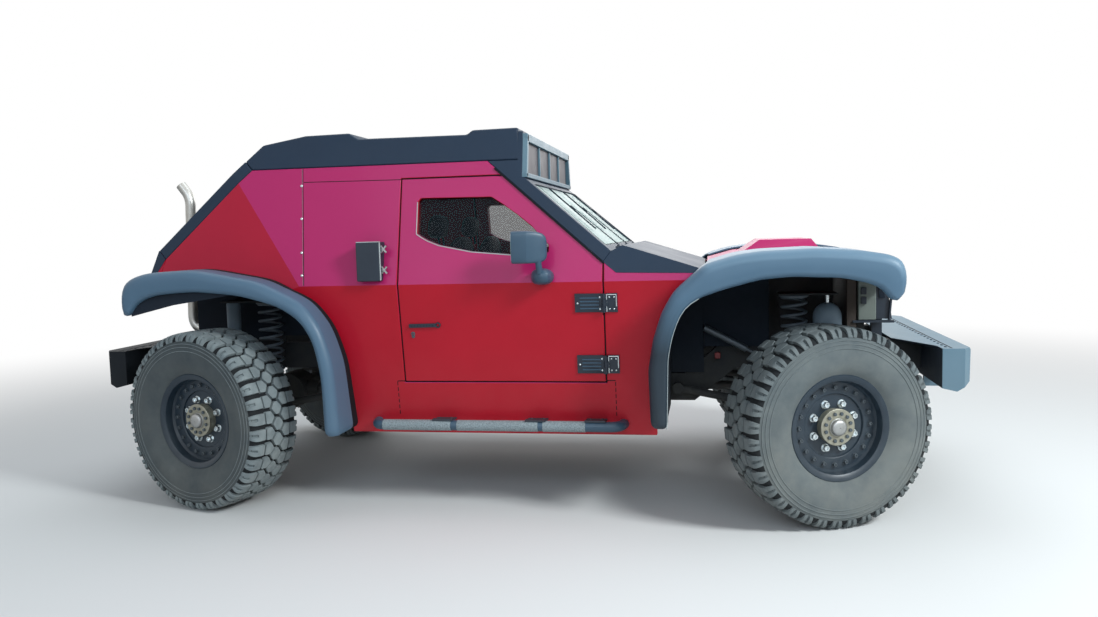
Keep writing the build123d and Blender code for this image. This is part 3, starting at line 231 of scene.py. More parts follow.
def mesh_of(name, parts, smooth=None, outward=False):
    """One mesh from parts, each (points, faces).

    smooth is the angle in degrees from which an edge stays sharp; outward turns all faces of
    every closed shell to look outwards.
    """
    mesh = bpy.data.meshes.new(name)
    points, faces, count = [], [], 0
    for part_points, part_faces in parts:
        part_points = np.asarray(part_points, float).reshape(-1, 3)
        part_faces = part_faces.tolist() if isinstance(part_faces, np.ndarray) else part_faces
        points.append(part_points)
        faces.extend([[corner + count for corner in face] for face in part_faces])
        count += len(part_points)
    mesh.from_pydata(np.concatenate(points), [], faces)
    if outward:
        work = bmesh.new()
        work.from_mesh(mesh)
        bmesh.ops.recalc_face_normals(work, faces=work.faces)
        work.to_mesh(mesh)
        work.free()
    if smooth is not None:
        smooth_by_angle(mesh, smooth)
    return mesh


def smooth_by_angle(mesh, angle):
    """Smooth shading, except across edges sharper than angle degrees."""
    mesh.polygons.foreach_set("use_smooth", np.ones(len(mesh.polygons), bool))
    mesh.set_sharp_from_angle(angle=radians(angle))


def place(name, mesh, body, finish, slot, replaces=()):
    """Puts a mesh into the scene as a piece that rides on body, with its finish; slot is not used."""
    obj = bpy.data.objects.new(name, mesh)
    scene.collection.objects.link(obj)
    mesh.materials.clear()
    for material in (finish if isinstance(finish, (list, tuple)) else [finish]):
        mesh.materials.append(material)
    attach(obj, body)
    if replaces:
        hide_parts(*replaces)
    return obj


def soften(obj, width, segments=2, angle=30.0):
    """Rounds the edges sharper than angle, so that they catch the light as real ones do."""
    bevel = obj.modifiers.new("soft edges", "BEVEL")
    bevel.width, bevel.segments = width, segments
    bevel.limit_method, bevel.angle_limit = "ANGLE", radians(angle)
    bevel.harden_normals = True


def add_piece(name, parts, finish, slot, replaces=(), body="chassis", smooth=30, bevel=0.0, segments=2,
              outward=False):
    """Mesh of closed parts put in place, with an optional small bevel."""
    obj = place(name, mesh_of(name, parts, smooth, outward), body, finish, slot, replaces)
    if bevel:
        soften(obj, bevel, segments)
    return obj


def shell_piece(name, parts, finish, slot, replaces=(), body="chassis", smooth=38):
    """Piece from closed parts whose faces are turned outwards after they are joined."""
    return add_piece(name, parts, finish, slot, replaces, body, smooth, outward=True)


def orient(points, faces):
    """Turns the faces of one closed part round where its signed volume is below zero."""
    points = np.asarray(points, float).reshape(-1, 3)
    faces = np.asarray(faces)
    a, b, c = points[faces[:, 0]], points[faces[:, 1]], points[faces[:, 2]]
    volume = np.einsum("ij,ij->i", a, np.cross(b, c)).sum()
    if faces.shape[1] == 4:
        d = points[faces[:, 3]]
        volume += np.einsum("ij,ij->i", a, np.cross(c, d)).sum()
    return points, faces[:, ::-1] if volume < 0 else faces


def ring_solid(profile, origin, axis, segments, closed=True):
    """Profile points (along, radius) turned about axis; closed joins the profile's end to its start."""
    axis = Vector(axis).normalized()
    steep = abs(axis.z) > 0.9
    side = (axis.orthogonal() if steep else axis.cross(Vector((0, 0, 1)))).normalized()
    up = side.cross(axis).normalized()
    profile = np.asarray(profile, float)
    angle = np.arange(segments) * 2 * pi / segments
    spokes = np.cos(angle)[:, None] * np.array(side) + np.sin(angle)[:, None] * np.array(up)
    points = (np.array(origin) + profile[None, :, :1] * np.array(axis)
              + profile[None, :, 1:] * spokes[:, None, :])
    return orient(points, grid_faces(segments, len(profile), True, closed))


def disc_solid(profile, origin, axis, segments):
    """Turned solid whose profile starts and ends all but on the axis."""
    return ring_solid(profile, origin, axis, segments, False)


def tube_solid(path, radius, sides=10):
    """Round bar along path: rings square to the path, carried on from ring to ring, fans at its ends."""
    path = np.asarray(path, float)
    ahead = np.gradient(path, axis=0)
    ahead /= np.linalg.norm(ahead, axis=1)[:, None]
    across = np.zeros_like(path)
    start = np.cross(ahead[0], (0, 0, 1) if abs(ahead[0][2]) < 0.9 else (1, 0, 0))
    across[0] = start / np.linalg.norm(start)
    for k in range(1, len(path)):
        moved = across[k - 1] - ahead[k] * (across[k - 1] @ ahead[k])
        across[k] = moved / np.linalg.norm(moved)
    over = np.cross(ahead, across)
    angle = np.arange(sides) * 2 * pi / sides
    radius = np.broadcast_to(np.asarray(radius, float), (len(path),))
    ring = np.cos(angle)[None, :, None] * across[:, None] + np.sin(angle)[None, :, None] * over[:, None]
    points = (path[:, None] + ring * radius[:, None, None]).reshape(-1, 3)
    quads = grid_faces(len(path), sides, False, True)
    faces = np.concatenate([quads[:, [0, 1, 2]], quads[:, [0, 2, 3]], end_fans(len(path), sides)])
    return orient(np.concatenate([points, path[[0, -1]]]), faces)


def box_solid(centre, size, x_dir=(1, 0, 0), y_dir=(0, 1, 0)):
    """Six-sided block about centre, its first two edges along x_dir and y_dir."""
    x_dir, y_dir = np.array(x_dir, float), np.array(y_dir, float)
    unit = np.array([(x, y, z) for z in (-1, 1) for y in (-1, 1) for x in (-1, 1)], float) / 2
    points = np.array(centre) + (unit * np.array(size)) @ np.stack([x_dir, y_dir, np.cross(x_dir, y_dir)])
    return orient(points, [(0, 2, 3, 1), (4, 5, 7, 6), (0, 1, 5, 4), (2, 6, 7, 3), (0, 4, 6, 2), (1, 3, 7, 5)])


print("mesh helpers ready")

# %% [markdown]
# ## Shared shader groups
#
# Three effects turn up on nearly every material.  `road_dust` lays a pale earth colour on the
# low parts and lets it fade with height, broken up by noise.  `mottle` varies a colour a little
# from place to place, as hand-sprayed paint and moulded rubber do.  `fine_grain` is a height
# for the bump of satin coatings.  Each group only gives out colours, masks and heights.

# %% Shader groups
def new_group(name, inputs, outputs):
    """Empty shader node group with named sockets: (name, kind, default) in, (name, kind) out."""
    group = bpy.data.node_groups.new(name, "ShaderNodeTree")
    for label, kind, value in inputs:
        socket = group.interface.new_socket(label, in_out="INPUT", socket_type=kind)
        socket.default_value = value
    for label, kind in outputs:
        group.interface.new_socket(label, in_out="OUTPUT", socket_type=kind)
    return group, group.nodes.new("NodeGroupInput"), group.nodes.new("NodeGroupOutput")


COLOUR, VALUE = "NodeSocketColor", "NodeSocketFloat"

dust_group, dust_in, dust_out = new_group(
    "road_dust", [("Colour", COLOUR, (0.5, 0.5, 0.5, 1)), ("Dust", COLOUR, (0.3, 0.29, 0.25, 1)),
                  ("Top", VALUE, 0.9), ("Amount", VALUE, 0.4)], [("Colour", COLOUR), ("Mask", VALUE)])
tree, given = dust_group, dust_in.outputs
where = object_place(tree)
patches = noise_node(tree, where, 5.0, 6.0, 0.65)
height = math_node(tree, "DIVIDE", axes_of(tree, where)["Z"], given["Top"])
low_down = math_node(tree, "SUBTRACT", 1.15, height, clamp=True)
broken = math_node(tree, "MULTIPLY", low_down, math_node(tree, "MULTIPLY_ADD", patches, 1.6, -0.2, clamp=True))
mask = math_node(tree, "MULTIPLY", broken, given["Amount"], clamp=True)
set_inputs(tree, dust_out, {"Colour": mix_colour(tree, mask, given["Colour"], given["Dust"]), "Mask": mask})

mottle_group, mottle_in, mottle_out = new_group(
    "mottle", [("Colour", COLOUR, (0.5, 0.5, 0.5, 1)), ("Other", COLOUR, (0.4, 0.4, 0.4, 1)),
               ("Scale", VALUE, 6.0), ("Amount", VALUE, 0.5)], [("Colour", COLOUR), ("Mask", VALUE)])
tree, given = mottle_group, mottle_in.outputs
cloud = noise_node(tree, object_place(tree), given["Scale"], 5.0, 0.6)
clear = math_node(tree, "MULTIPLY_ADD", cloud, 3.0, -1.0, clamp=True)
mask = math_node(tree, "MULTIPLY", clear, given["Amount"])
set_inputs(tree, mottle_out, {"Colour": mix_colour(tree, mask, given["Colour"], given["Other"]), "Mask": mask})

grain_group, grain_in, grain_out = new_group(
    "fine_grain", [("Scale", VALUE, 300.0), ("Wave", VALUE, 3.0), ("Wave share", VALUE, 0.3)],
    [("Height", VALUE)])
tree, given = grain_group, grain_in.outputs
where = object_place(tree)
fine, wave = noise_node(tree, where, given["Scale"], 2.0), noise_node(tree, where, given["Wave"], 2.0)
wave_part = math_node(tree, "MULTIPLY", wave, given["Wave share"])
set_inputs(tree, grain_out, {"Height": math_node(tree, "ADD", fine, wave_part)})
print("shader groups:", [group.name for group in (dust_group, mottle_group, grain_group)])

# %% [markdown]
# ## Materials
#
# One maker builds them all.  Every finish starts from its own colour and a second colour that
# the mottle drifts towards, takes its share of road dust, and gets a bump from the fine grain.
# The plain numbers - metal, coat, gloss - stay on the shader's own sockets.  Some colours are
# painted light: the crimson paint turns pinker on faces that lean upwards as a painted sky
# reflection; the front fenders have painted light on top and painted shade on faces that look
# backwards and at the foot; the rear tyres have painted shade on their walls and painted
# sunlight on their lugs; the tyres' groove floors are painted shade and their sidewall ribs a
# painted highlight; and the blue tint of the satin mouldings and bumper is partly a painted sky
# reflection, the front bumper's partly painted sunlight.

# %% Materials
def finish(name, colour, other, rough, metal=0.0, coat=0.0, coat_rough=0.05, drift=6.0, drift_share=0.5,
           dust=0.3, dust_top=1.0, grain=300.0, wave=3.0, wave_share=0.3, bump=0.05, bump_depth=0.002,
           rough_spread=0.15, specular=0.5, painted_sky_light=None, foot=None):
    """Finish with mottle, dust and grain.

    The sky tone is a painted sky reflection and painted top light on faces that lean upwards,
    weaker on faces that look backwards; the foot tone is painted shade near the ground: it
    takes over below 1.26 m and is full at 0.95 m.
    """
    material, tree, shader = new_material(name, {
        "Metallic": metal, "Coat Weight": coat, "Coat Roughness": coat_rough, "Specular IOR Level": specular})
    mottle = add_node(tree, "Group", {"Colour": colour, "Other": other, "Scale": drift, "Amount": drift_share},
                      node_tree=mottle_group)
    tone = mottle["Colour"]
    # painted sky light: the sky tone on faces that lean upwards, held back on faces that look backwards
    if painted_sky_light:
        facing = axes_of(tree, object_place(tree, "Normal"))
        upward = math_node(tree, "MULTIPLY_ADD", facing["Z"], 4.0, 0.1)
        backward = math_node(tree, "MINIMUM", facing["X"], 0.0)
        tone = mix_colour(tree, math_node(tree, "MULTIPLY_ADD", backward, 5.0, upward, clamp=True), tone, painted_sky_light)
    # painted shade: the foot tone takes over towards the ground
    if foot:
        height = axes_of(tree, object_place(tree))["Z"]
        tone = mix_colour(tree, math_node(tree, "MULTIPLY_ADD", height, -3.3, 4.15, clamp=True), tone, foot)
    dusty = add_node(tree, "Group", {"Colour": tone, "Top": dust_top, "Amount": dust}, node_tree=dust_group)
    worn = math_node(tree, "MULTIPLY_ADD", mottle["Mask"], rough_spread, rough)
    texture = add_node(tree, "Group", {"Scale": grain, "Wave": wave, "Wave share": wave_share},
                       node_tree=grain_group)
    relief = add_node(tree, "Bump", {"Strength": bump, "Distance": bump_depth, "Height": texture["Height"]})
    set_inputs(tree, shader, {
        "Base Color": dusty["Colour"], "Normal": relief["Normal"],
        "Roughness": math_node(tree, "MULTIPLY_ADD", dusty["Mask"], 0.5, worn, clamp=True)})
    return material


# The pinker sky tone on faces that lean upwards is a painted sky reflection on the crimson paint.
crimson = finish("crimson_paint", (0.455, 0.005, 0.02), (0.4, 0.004, 0.016), 0.36, coat=0.14, coat_rough=0.12,
                 drift=2.2, drift_share=0.6, dust=0.1, dust_top=0.85, grain=900, wave=1.6, wave_share=1.5,
                 bump=0.06, bump_depth=0.004, rough_spread=0.12, specular=0.2, painted_sky_light=(0.42, 0.016, 0.118))
# Its blue tint is partly a painted sky reflection on a near-black satin.
roof_satin = finish("roof_satin_paint", (0.006, 0.02, 0.044), (0.011, 0.028, 0.056), 0.42, drift=3.0, dust=0.04,
                    dust_top=3.0, grain=700, bump=0.1, bump_depth=0.001, specular=0.25)
moulded = {"drift": 3.0, "dust": 0.1, "dust_top": 0.8, "grain": 500, "bump": 0.12, "bump_depth": 0.001,
           "specular": 0.4}
# The arch mouldings' blue-grey is partly a painted sky reflection on black moulded plastic.
arch_satin = finish("arch_moulding", (0.062, 0.124, 0.19), (0.074, 0.138, 0.206), 0.4, **moulded)
# Paler on faces that lean upwards, darker on faces that look backwards and near the ground: painted light and
# painted shade on the fender.
front_arch_painted_light_and_shade = finish("front_arch_moulding_painted_light_and_shade", (0.066, 0.132, 0.2), (0.08, 0.148, 0.22), 0.4, **moulded,
                          painted_sky_light=(0.115, 0.2, 0.278), foot=(0.013, 0.026, 0.04))
beam_paint = {"drift": 4.0, "grain": 450, "bump": 0.2, "bump_depth": 0.001}
# Its pale blue is partly painted sunlight and a painted sky reflection on a dark satin beam.
bumper_satin_painted_sunlight = finish("bumper_paint", (0.1, 0.18, 0.236), (0.116, 0.198, 0.256), 0.4, dust=0.22, dust_top=0.9,
                      **beam_paint)
rear_bumper_black = finish("rear_bumper_paint", (0.005, 0.008, 0.012), (0.01, 0.013, 0.017), 0.5, dust=0.06,
                           dust_top=1.2, specular=0.15, **beam_paint)
trim_black = finish("trim_black", (0.008, 0.016, 0.029), (0.015, 0.026, 0.042), 0.45, drift=12.0, dust=0.1,
                    grain=600, bump=0.2, bump_depth=0.0008)
gap_black = finish("gap_black", (0.004, 0.005, 0.007), (0.006, 0.007, 0.01), 0.7, drift=12.0, dust=0.0,
                   grain=600, bump=0.1, specular=0.2)
seam_edge = finish("seam_edge", (0.3, 0.1, 0.16), (0.36, 0.16, 0.2), 0.35, drift=30.0, dust=0.1, grain=600,
                   bump=0.1)
housing_satin = finish("housing_satin", (0.028, 0.068, 0.11), (0.04, 0.084, 0.13), 0.36, drift=9.0, dust=0.05,
                       grain=650, bump=0.15, bump_depth=0.0008)
under_black = finish("underbody_paint", (0.01, 0.013, 0.018), (0.03, 0.03, 0.028), 0.66, drift=8.0,
                     drift_share=0.7, dust=0.45, dust_top=0.8, grain=160, bump=0.5, specular=0.3)
liner_black = finish("liner_black", (0.006, 0.011, 0.02), (0.011, 0.019, 0.03), 0.75, drift=5.0, dust=0.25,
                     dust_top=0.8, grain=140, bump=0.6, specular=0.25)
rim_black = finish("rim_paint", (0.01, 0.022, 0.036), (0.02, 0.037, 0.054), 0.34, drift=10.0, dust=0.1,
                   dust_top=0.7, grain=350, bump=0.25, bump_depth=0.001, specular=0.45)
bolt_grey = finish("bolt_grey", (0.06, 0.08, 0.098), (0.095, 0.115, 0.13), 0.38, metal=0.4, dust=0.15, drift=40)
wall_look = {"drift": 4.0, "drift_share": 1.0, "dust_top": 1.3, "grain": 220, "bump": 0.4, "bump_depth": 0.0012,
             "specular": 0.3}
lug_look = {"drift": 13.0, "drift_share": 0.9, "dust": 0.34, "dust_top": 1.6, "grain": 260, "bump": 0.5,
            "bump_depth": 0.0015, "specular": 0.3}
tyre_rubber = finish("tyre_rubber", (0.062, 0.084, 0.096), (0.128, 0.15, 0.154), 0.7, dust=0.42, **wall_look)
# The rear walls are a darker copy of the tyre rubber as painted shade, the rear lugs a paler copy of the tread
# rubber as painted sunlight.
rear_wall_painted_shade = finish("rear_wall_painted_shade", (0.036, 0.051, 0.062), (0.078, 0.095, 0.102), 0.7, **wall_look)
tread_rubber = finish("tread_rubber", (0.072, 0.095, 0.107), (0.14, 0.168, 0.178), 0.66, **lug_look)
rear_tread_painted_sunlight = finish("rear_tread_painted_sunlight", (0.135, 0.172, 0.19), (0.24, 0.285, 0.295), 0.66, **lug_look)
# Near-black rubber for the groove floors between the lugs: painted shade.
groove_painted_shade = finish("groove_painted_shade", (0.008, 0.01, 0.013), (0.018, 0.021, 0.023), 0.85, drift=14.0,
                       drift_share=0.8, dust=0.05, dust_top=1.3, grain=260, bump=0.5, bump_depth=0.0015,
                       specular=0.25)
nut_steel = finish("nut_steel", (0.66, 0.72, 0.74), (0.45, 0.48, 0.48), 0.24, metal=1.0, dust=0.08, drift=30,
                   grain=500, bump=0.1)
hub_brass = finish("hub_brass", (0.36, 0.35, 0.28), (0.24, 0.23, 0.18), 0.42, metal=0.7, drift=14, bump=0.3)
bare_steel = finish("bare_steel", (0.42, 0.43, 0.43), (0.28, 0.28, 0.27), 0.38, metal=0.9, dust=0.2, drift=14,
                    bump=0.3)
dome_grey = finish("dome_grey", (0.2, 0.27, 0.33), (0.15, 0.21, 0.27), 0.5, dust=0.1, dust_top=1.4, drift=8,
                   bump=0.2)
post_brown = finish("post_brown", (0.035, 0.026, 0.022), (0.06, 0.042, 0.03), 0.7, dust=0.2, drift=14,
                    grain=150, bump=0.6)
box_sage = finish("box_sage", (0.16, 0.19, 0.17), (0.12, 0.14, 0.13), 0.5, dust=0.15, dust_top=1.4, drift=14,
                  bump=0.2)
valve_red = finish("valve_red", (0.2, 0.01, 0.014), (0.12, 0.01, 0.012), 0.45, dust=0.2, drift=20, bump=0.2)
spring_grey = finish("spring_paint", (0.085, 0.11, 0.135), (0.12, 0.145, 0.165), 0.38, dust=0.1, drift=12)
engine_iron = finish("engine_iron", (0.045, 0.05, 0.056), (0.09, 0.085, 0.078), 0.65, metal=0.3, dust=0.25,
                     drift=9, grain=120, bump=0.5, bump_depth=0.003)
pipe_steel = finish("exhaust_steel", (0.5, 0.5, 0.48), (0.38, 0.35, 0.3), 0.34, metal=0.85, dust=0.15, drift=8,
                    grain=260, bump=0.2)
seat_hide = finish("seat_hide", (0.01, 0.015, 0.024), (0.018, 0.024, 0.034), 0.5, dust=0.0, drift=10, grain=420,
                   bump=0.5)
dash_moulding = finish("dash_moulding", (0.17, 0.18, 0.18), (0.22, 0.22, 0.21), 0.6, dust=0.0, grain=500,
                       bump=0.4)
lamp_grey = finish("lamp_pane", (0.062, 0.056, 0.068), (0.09, 0.082, 0.092), 0.38, dust=0.08, dust_top=3.0,
                   drift=9, specular=0.2)
head_lens = finish("head_lens", (0.62, 0.66, 0.66), (0.5, 0.54, 0.55), 0.1, dust=0.05, dust_top=3.0, coat=0.8,
                   drift=20)
red_lens = finish("red_lens", (0.42, 0.01, 0.012), (0.3, 0.006, 0.008), 0.12, dust=0.1, coat=0.8, drift=20)


def glass(name, colour, alpha, specular, rough=0.02):
    """Thin tinted glass: mostly see-through by alpha, with a plain glossy face."""
    material, tree, shader = new_material(name, {
        "Roughness": rough, "Alpha": alpha, "Specular IOR Level": specular})
    cloudy = add_node(tree, "Group", {"Colour": colour, "Other": tuple(0.75 * c for c in colour), "Scale": 2.4,
                                      "Amount": 0.7}, node_tree=mottle_group)
    set_inputs(tree, shader, {"Base Color": cloudy["Colour"]})
    return material


side_glass = glass("side_glass", (0.006, 0.01, 0.014), alpha=0.34, specular=0.12)
screen_glass = glass("screen_glass", (0.25, 0.39, 0.37), alpha=0.86, rough=0.32, specular=0.15)

cad_finish = {node: look for look, members in (
    (crimson, "body_sides bonnet door_left door_right tail_panel"), (front_arch_painted_light_and_shade, "front_fenders"),
    (arch_satin, "rear_flares"), (roof_satin, "roof_cap rear_slope screen_frame cowl roof_lamp_frame"),
    (lamp_grey, "roof_lamps"), (head_lens, "headlamps"), (red_lens, "tail_lamps"), (screen_glass, "windscreen"),
    (side_glass, "rear_glass door_glass_left door_glass_right"), (rear_bumper_black, "rear_bumper"),
    (trim_black, "door_fittings_left door_fittings_right hinge_leaves side_box nose_panel"),
    (bumper_satin_painted_sunlight, "front_bumper step_bars"), (spring_grey, "coil_springs"), (bare_steel, "dampers"),
    (engine_iron, "engine_block transmission"), (pipe_steel, "exhaust_stack"), (seat_hide, "seats"),
    (dash_moulding, "dashboard")) for node in members.split()}
for name, obj in nodes.items():
    obj.data.materials.clear()
    obj.data.materials.append(cad_finish.get(name, under_black))
print(f"{len(bpy.data.materials)} materials, {len(cad_finish)} nodes named in the table")

# %% [markdown]
# ## Floor
#
# The floor is one large pale square.  Near the car it takes light and shadow as paper would.
# Far away it turns into plain white, by its distance from the car on Object coordinates, so
# that no horizon line shows behind the bonnet.

# %% Floor
floor_size = 60.0
floor_corners = np.array([[-1, -1, 0], [1, -1, 0], [1, 1, 0], [-1, 1, 0]]) * floor_size
floor_mesh = mesh_of("floor", [(floor_corners, [(0, 1, 2, 3)])])
floor = bpy.data.objects.new("floor", floor_mesh)
scene.collection.objects.link(floor)
floor_look, tree, floor_shader = new_material("studio_floor", {
    "Base Color": (0.72, 0.72, 0.71), "Roughness": 0.9, "Specular IOR Level": 0.2})
away = add_node(tree, "VectorMath", {0: object_place(tree)}, operation="LENGTH")["Value"]
fade = add_node(tree, "MapRange", {"From Min": 3.5, "From Max": 11.0, "Value": away},
                interpolation_type="SMOOTHSTEP")["Result"]
share = math_node(tree, "MULTIPLY", fade, add_node(tree, "LightPath")["Is Camera Ray"])
far_white = add_node(tree, "Emission")[0]
floor_mix = add_node(tree, "MixShader", {0: share, 1: floor_shader.outputs[0], 2: far_white})[0]
set_inputs(tree, tree.nodes["Material Output"], {"Surface": floor_mix})
floor_mesh.materials.append(floor_look)
print("floor", 2 * floor_size, "m square")

# %% [markdown]
# ## The wheels' own frame
#
# Each wheel turns about a hinge of the CAD model, whose place and axis are in the joint table.
# From them come three directions: outwards along the axle, and two square to it, so a tyre or
# a rim is drawn once as (out, radius, angle) and set down at four corners.

# %% Wheel frames
tyre_radius = 0.546
corners = ("front_right", "front_left", "rear_right", "rear_left")
sides = {"right": -1, "left": 1}
both = (-1, 1)


def wheel_frame(corner):
    """Centre, outward, forward and up directions of one wheel from its spin hinge."""
    joint = joints[f"spin_{corner}"]
    out = np.array(joint["axis"], float)
    out /= np.linalg.norm(out)
    if out[1] * (1 if corner.endswith("left") else -1) < 0:
        out = -out
    return np.array(joint["pos_m"], float), out, np.cross(out, (0, 0, 1)), np.array((0, 0, 1.0))


def on_wheel(points, corner):
    """Points (out, arc angle, radius) to metres: centre + out + radius * (cos, sin) of the angle."""
    centre, out, ahead, up = wheel_frame(corner)
    turn = points[..., 1]
    return (centre + points[..., :1] * out + (points[..., 2] * np.cos(turn))[..., None] * ahead
            + (points[..., 2] * np.sin(turn))[..., None] * up)


def turned(profile, corner, segments):
    """Closed ring turned about the axle from (out, radius) pairs."""
    profile = np.asarray(profile, float)
    grid = np.empty((segments, len(profile), 3))
    grid[..., 0], grid[..., 2] = profile[:, 0], profile[:, 1]
    grid[..., 1] = (np.arange(segments) * 2 * pi / segments)[:, None]
    return orient(on_wheel(grid, corner), grid_faces(segments, len(profile), True, True))


hub_centre = wheel_frame("front_right")[0]
print("front right wheel centre", hub_centre.round(4), "radius", tyre_radius)

# %% [markdown]
# ## Tyre carcass
#
# A tyre without its lugs is a body of revolution.  Its half section runs from the bead at the
# rim, out over the bulging sidewall with three thin ribs, round the shoulder, and across the
# floor of the tread grooves.  Turning a profile is the cheapest exact way to make it; the lugs
# stand on it as pieces of their own.

# %% Tyre carcass
groove_depth, carcass_steps = 0.019, 144
wall_line = np.array([(0.1345, 0.257), (0.1365, 0.284), (0.146, 0.2965), (0.1575, 0.3105), (0.1685, 0.334),
                      (0.177, 0.362), (0.181, 0.392), (0.1822, 0.42), (0.182, 0.43), (0.185, 0.4325),
                      (0.185, 0.4355), (0.182, 0.438), (0.1812, 0.4535), (0.1842, 0.456), (0.1842, 0.459),
                      (0.1808, 0.4615), (0.1796, 0.4735), (0.1826, 0.476), (0.1822, 0.479), (0.1784, 0.4815),
                      (0.176, 0.492), (0.17, 0.508), (0.16, 0.519), (0.145, 0.525), (0.11, 0.5265)])
lining = np.array([(0.11, 0.49), (0.146, 0.475), (0.16, 0.42), (0.15, 0.35), (0.12, 0.305), (0.112, 0.257)])


def tyre_carcass(corner):
    """Closed turned ring: both sidewall lines, the groove floor between them and the lining inside."""
    mirror = (-1, 1)
    order = np.concatenate([wall_line, (wall_line * mirror)[::-1], (lining * mirror)[::-1], lining])
    return turned(order, corner, carcass_steps)


print("half section of", len(wall_line) + len(lining), "points")

# %% [markdown]
# ## Tread lugs
#
# The tread has 36 pitches of five blocks: a six-sided block on the centre line, one row each
# side set half a pitch on, and shoulder lugs in line with those, which wrap over the shoulder
# and end in two prongs with a notch.  A block is its outline twice, once on the groove floor
# and once on the crown, joined by walls with a little draft.  One block is drawn and then
# turned 36 times by adding an angle to the whole array.

# %% Tread lugs
pitches, foot_spread = 36, 1.07
pitch_angle = 2 * pi / pitches


def crown_radius(out):
    """Radius of the tread's face: flat in the middle, falling by the square of the distance from it."""
    return tyre_radius - 0.0035 * (np.abs(out) / 0.15) ** 2


def round_tyre(block, block_faces, start, corner):
    """One block, points (out, arc angle, radius) and faces, repeated at every pitch round the tyre."""
    every = np.broadcast_to(block, (pitches, *block.shape)).copy()
    every[..., 1] += (np.arange(pitches) * pitch_angle + start)[:, None]
    faces = [[v + i * len(block) for v in face] for i in range(pitches) for face in block_faces]
    return on_wheel(every, corner), faces


def block_ring(outline, out_shift, start, corner):
    """Outline (out, arc) in metres raised from groove floor to crown, repeated round the tyre."""
    outline = np.asarray(outline, float)
    mid = outline.mean(0)
    base = mid + (outline - mid) * foot_spread
    top_out, base_out = outline[:, 0] + out_shift, base[:, 0] + out_shift
    top = np.stack([top_out, outline[:, 1] / tyre_radius, crown_radius(top_out)], 1)
    low = np.stack([base_out, base[:, 1] / tyre_radius, 0 * base_out + tyre_radius - groove_depth - 0.002], 1)
    return round_tyre(np.concatenate([low, top]), prism_faces(len(outline)), start, corner)


# Stations along the tyre's outline: (out, radius, thickness), half width of the lug, depth of its notch.
shoulder_path = np.array([(0.1015, 0.544, 0.019), (0.13, 0.5428, 0.019), (0.151, 0.54, 0.0185),
                          (0.156, 0.5388, 0.018), (0.169, 0.531, 0.016), (0.178, 0.518, 0.0125),
                          (0.1815, 0.503, 0.008), (0.1812, 0.4925, 0.003)])
shoulder_width = np.array([0.032, 0.033, 0.033, 0.033, 0.0322, 0.0305, 0.0285, 0.027])
shoulder_notch = np.array([0, 0, 0, 0.012, 0.0145, 0.0125, 0.008, 0.002])
# Section of the lug: (share of its half width, -1 on the groove floor or 0 on the face, 1 in the notch).
shoulder_section = [(-1.05, -1, 0), (-1, 0, 0), (-0.27, 0, 0), (-0.2, 0, 1), (0.2, 0, 1), (0.27, 0, 0),
                    (1, 0, 0), (1.05, -1, 0)]


def shoulder_ring(side, start, corner):
    """Shoulder lug carried along the tyre's outline in notched sections, repeated round the tyre."""
    loops = []
    for share, sink, cut in shoulder_section:
        depth = (shoulder_path[:, 2] + 0.002) * sink * -1 + shoulder_notch * cut
        point = shoulder_path[:, :2] - normals_of(shoulder_path[:, :2]) * depth[:, None]
        loops.append(np.stack([side * point[:, 0], share * shoulder_width / tyre_radius, point[:, 1]], 1))
    one = np.stack(loops, 1)
    return round_tyre(one.reshape(-1, 3), capped_faces(*one.shape[:2]), start, corner)


centre_block = [(-0.0385, 0.0), (-0.0305, 0.014), (-0.0122, 0.0375), (0.0122, 0.0375), (0.0305, 0.014),
                (0.0385, 0.0), (0.0305, -0.014), (0.0122, -0.0375), (-0.0122, -0.0375), (-0.0305, -0.014)]
middle_block = [(-0.0385, 0.0), (-0.0315, 0.012), (-0.014, 0.0362), (0.0185, 0.0362), (0.0245, 0.03),
                (0.0245, -0.03), (0.0185, -0.0362), (-0.014, -0.0362), (-0.0315, -0.012)]
middle_row, half_pitch, last_point = 0.066, pitch_angle / 2, len(wall_line) - 1
for corner in corners:
    ride_on, stands_for = f"wheel_{corner}", [f"tyre_{corner}"]
    at_rear = corner.startswith("rear")
    # rear wheels take the painted-shade walls and the painted-sunlight lugs
    wall, tread = (rear_wall_painted_shade, rear_tread_painted_sunlight) if at_rear else (tyre_rubber, tread_rubber)
    carcass = mesh_of(f"carcass_{corner}", [tyre_carcass(corner)], 40)
    place(f"tyre_carcass_{corner}", carcass, ride_on, [wall, groove_painted_shade, tread], "tyre", stands_for)
    look = np.zeros((carcass_steps, len(carcass.polygons) // carcass_steps), dtype=np.int32)
    # groove floors take the near-black rubber: painted shade between the lugs
    look[:, last_point - 4:last_point + 5] = 1
    # the sidewall ribs take the lighter lug rubber: a painted highlight along each rib
    for rib in (9, 13, 17):
        look[:, [rib, 2 * last_point - rib]] = 2
    carcass.polygons.foreach_set("material_index", look.ravel())
    blocks = [block_ring(centre_block, 0.0, 0.0, corner)]
    for side in both:
        outline = [(side * out, arc) for out, arc in middle_block]
        blocks.append(block_ring(outline, side * middle_row, half_pitch, corner))
        blocks.append(shoulder_ring(side, half_pitch, corner))
    lugs = shell_piece(f"tyre_lugs_{corner}", blocks, tread, "tyre", stands_for, ride_on, 30)
    soften(lugs, 0.0022, 1, 32)
print(f"{pitches} pitches a tyre, {len(lugs.data.polygons)} lug faces each")

# %% [markdown]
# ## Rims, nuts and hubs
#
# The wheel is a pressed steel rim with a rolled lip, a deep recess, a raised ring with 20 small
# bolts, and a flat disc held by eight bright nuts.  In its middle stands the brass-coloured end
# of the hub with its own twelve bolts and a domed cap.  The rim is turned from one profile;
# the nuts and bolts are small six-sided solids repeated round a circle.

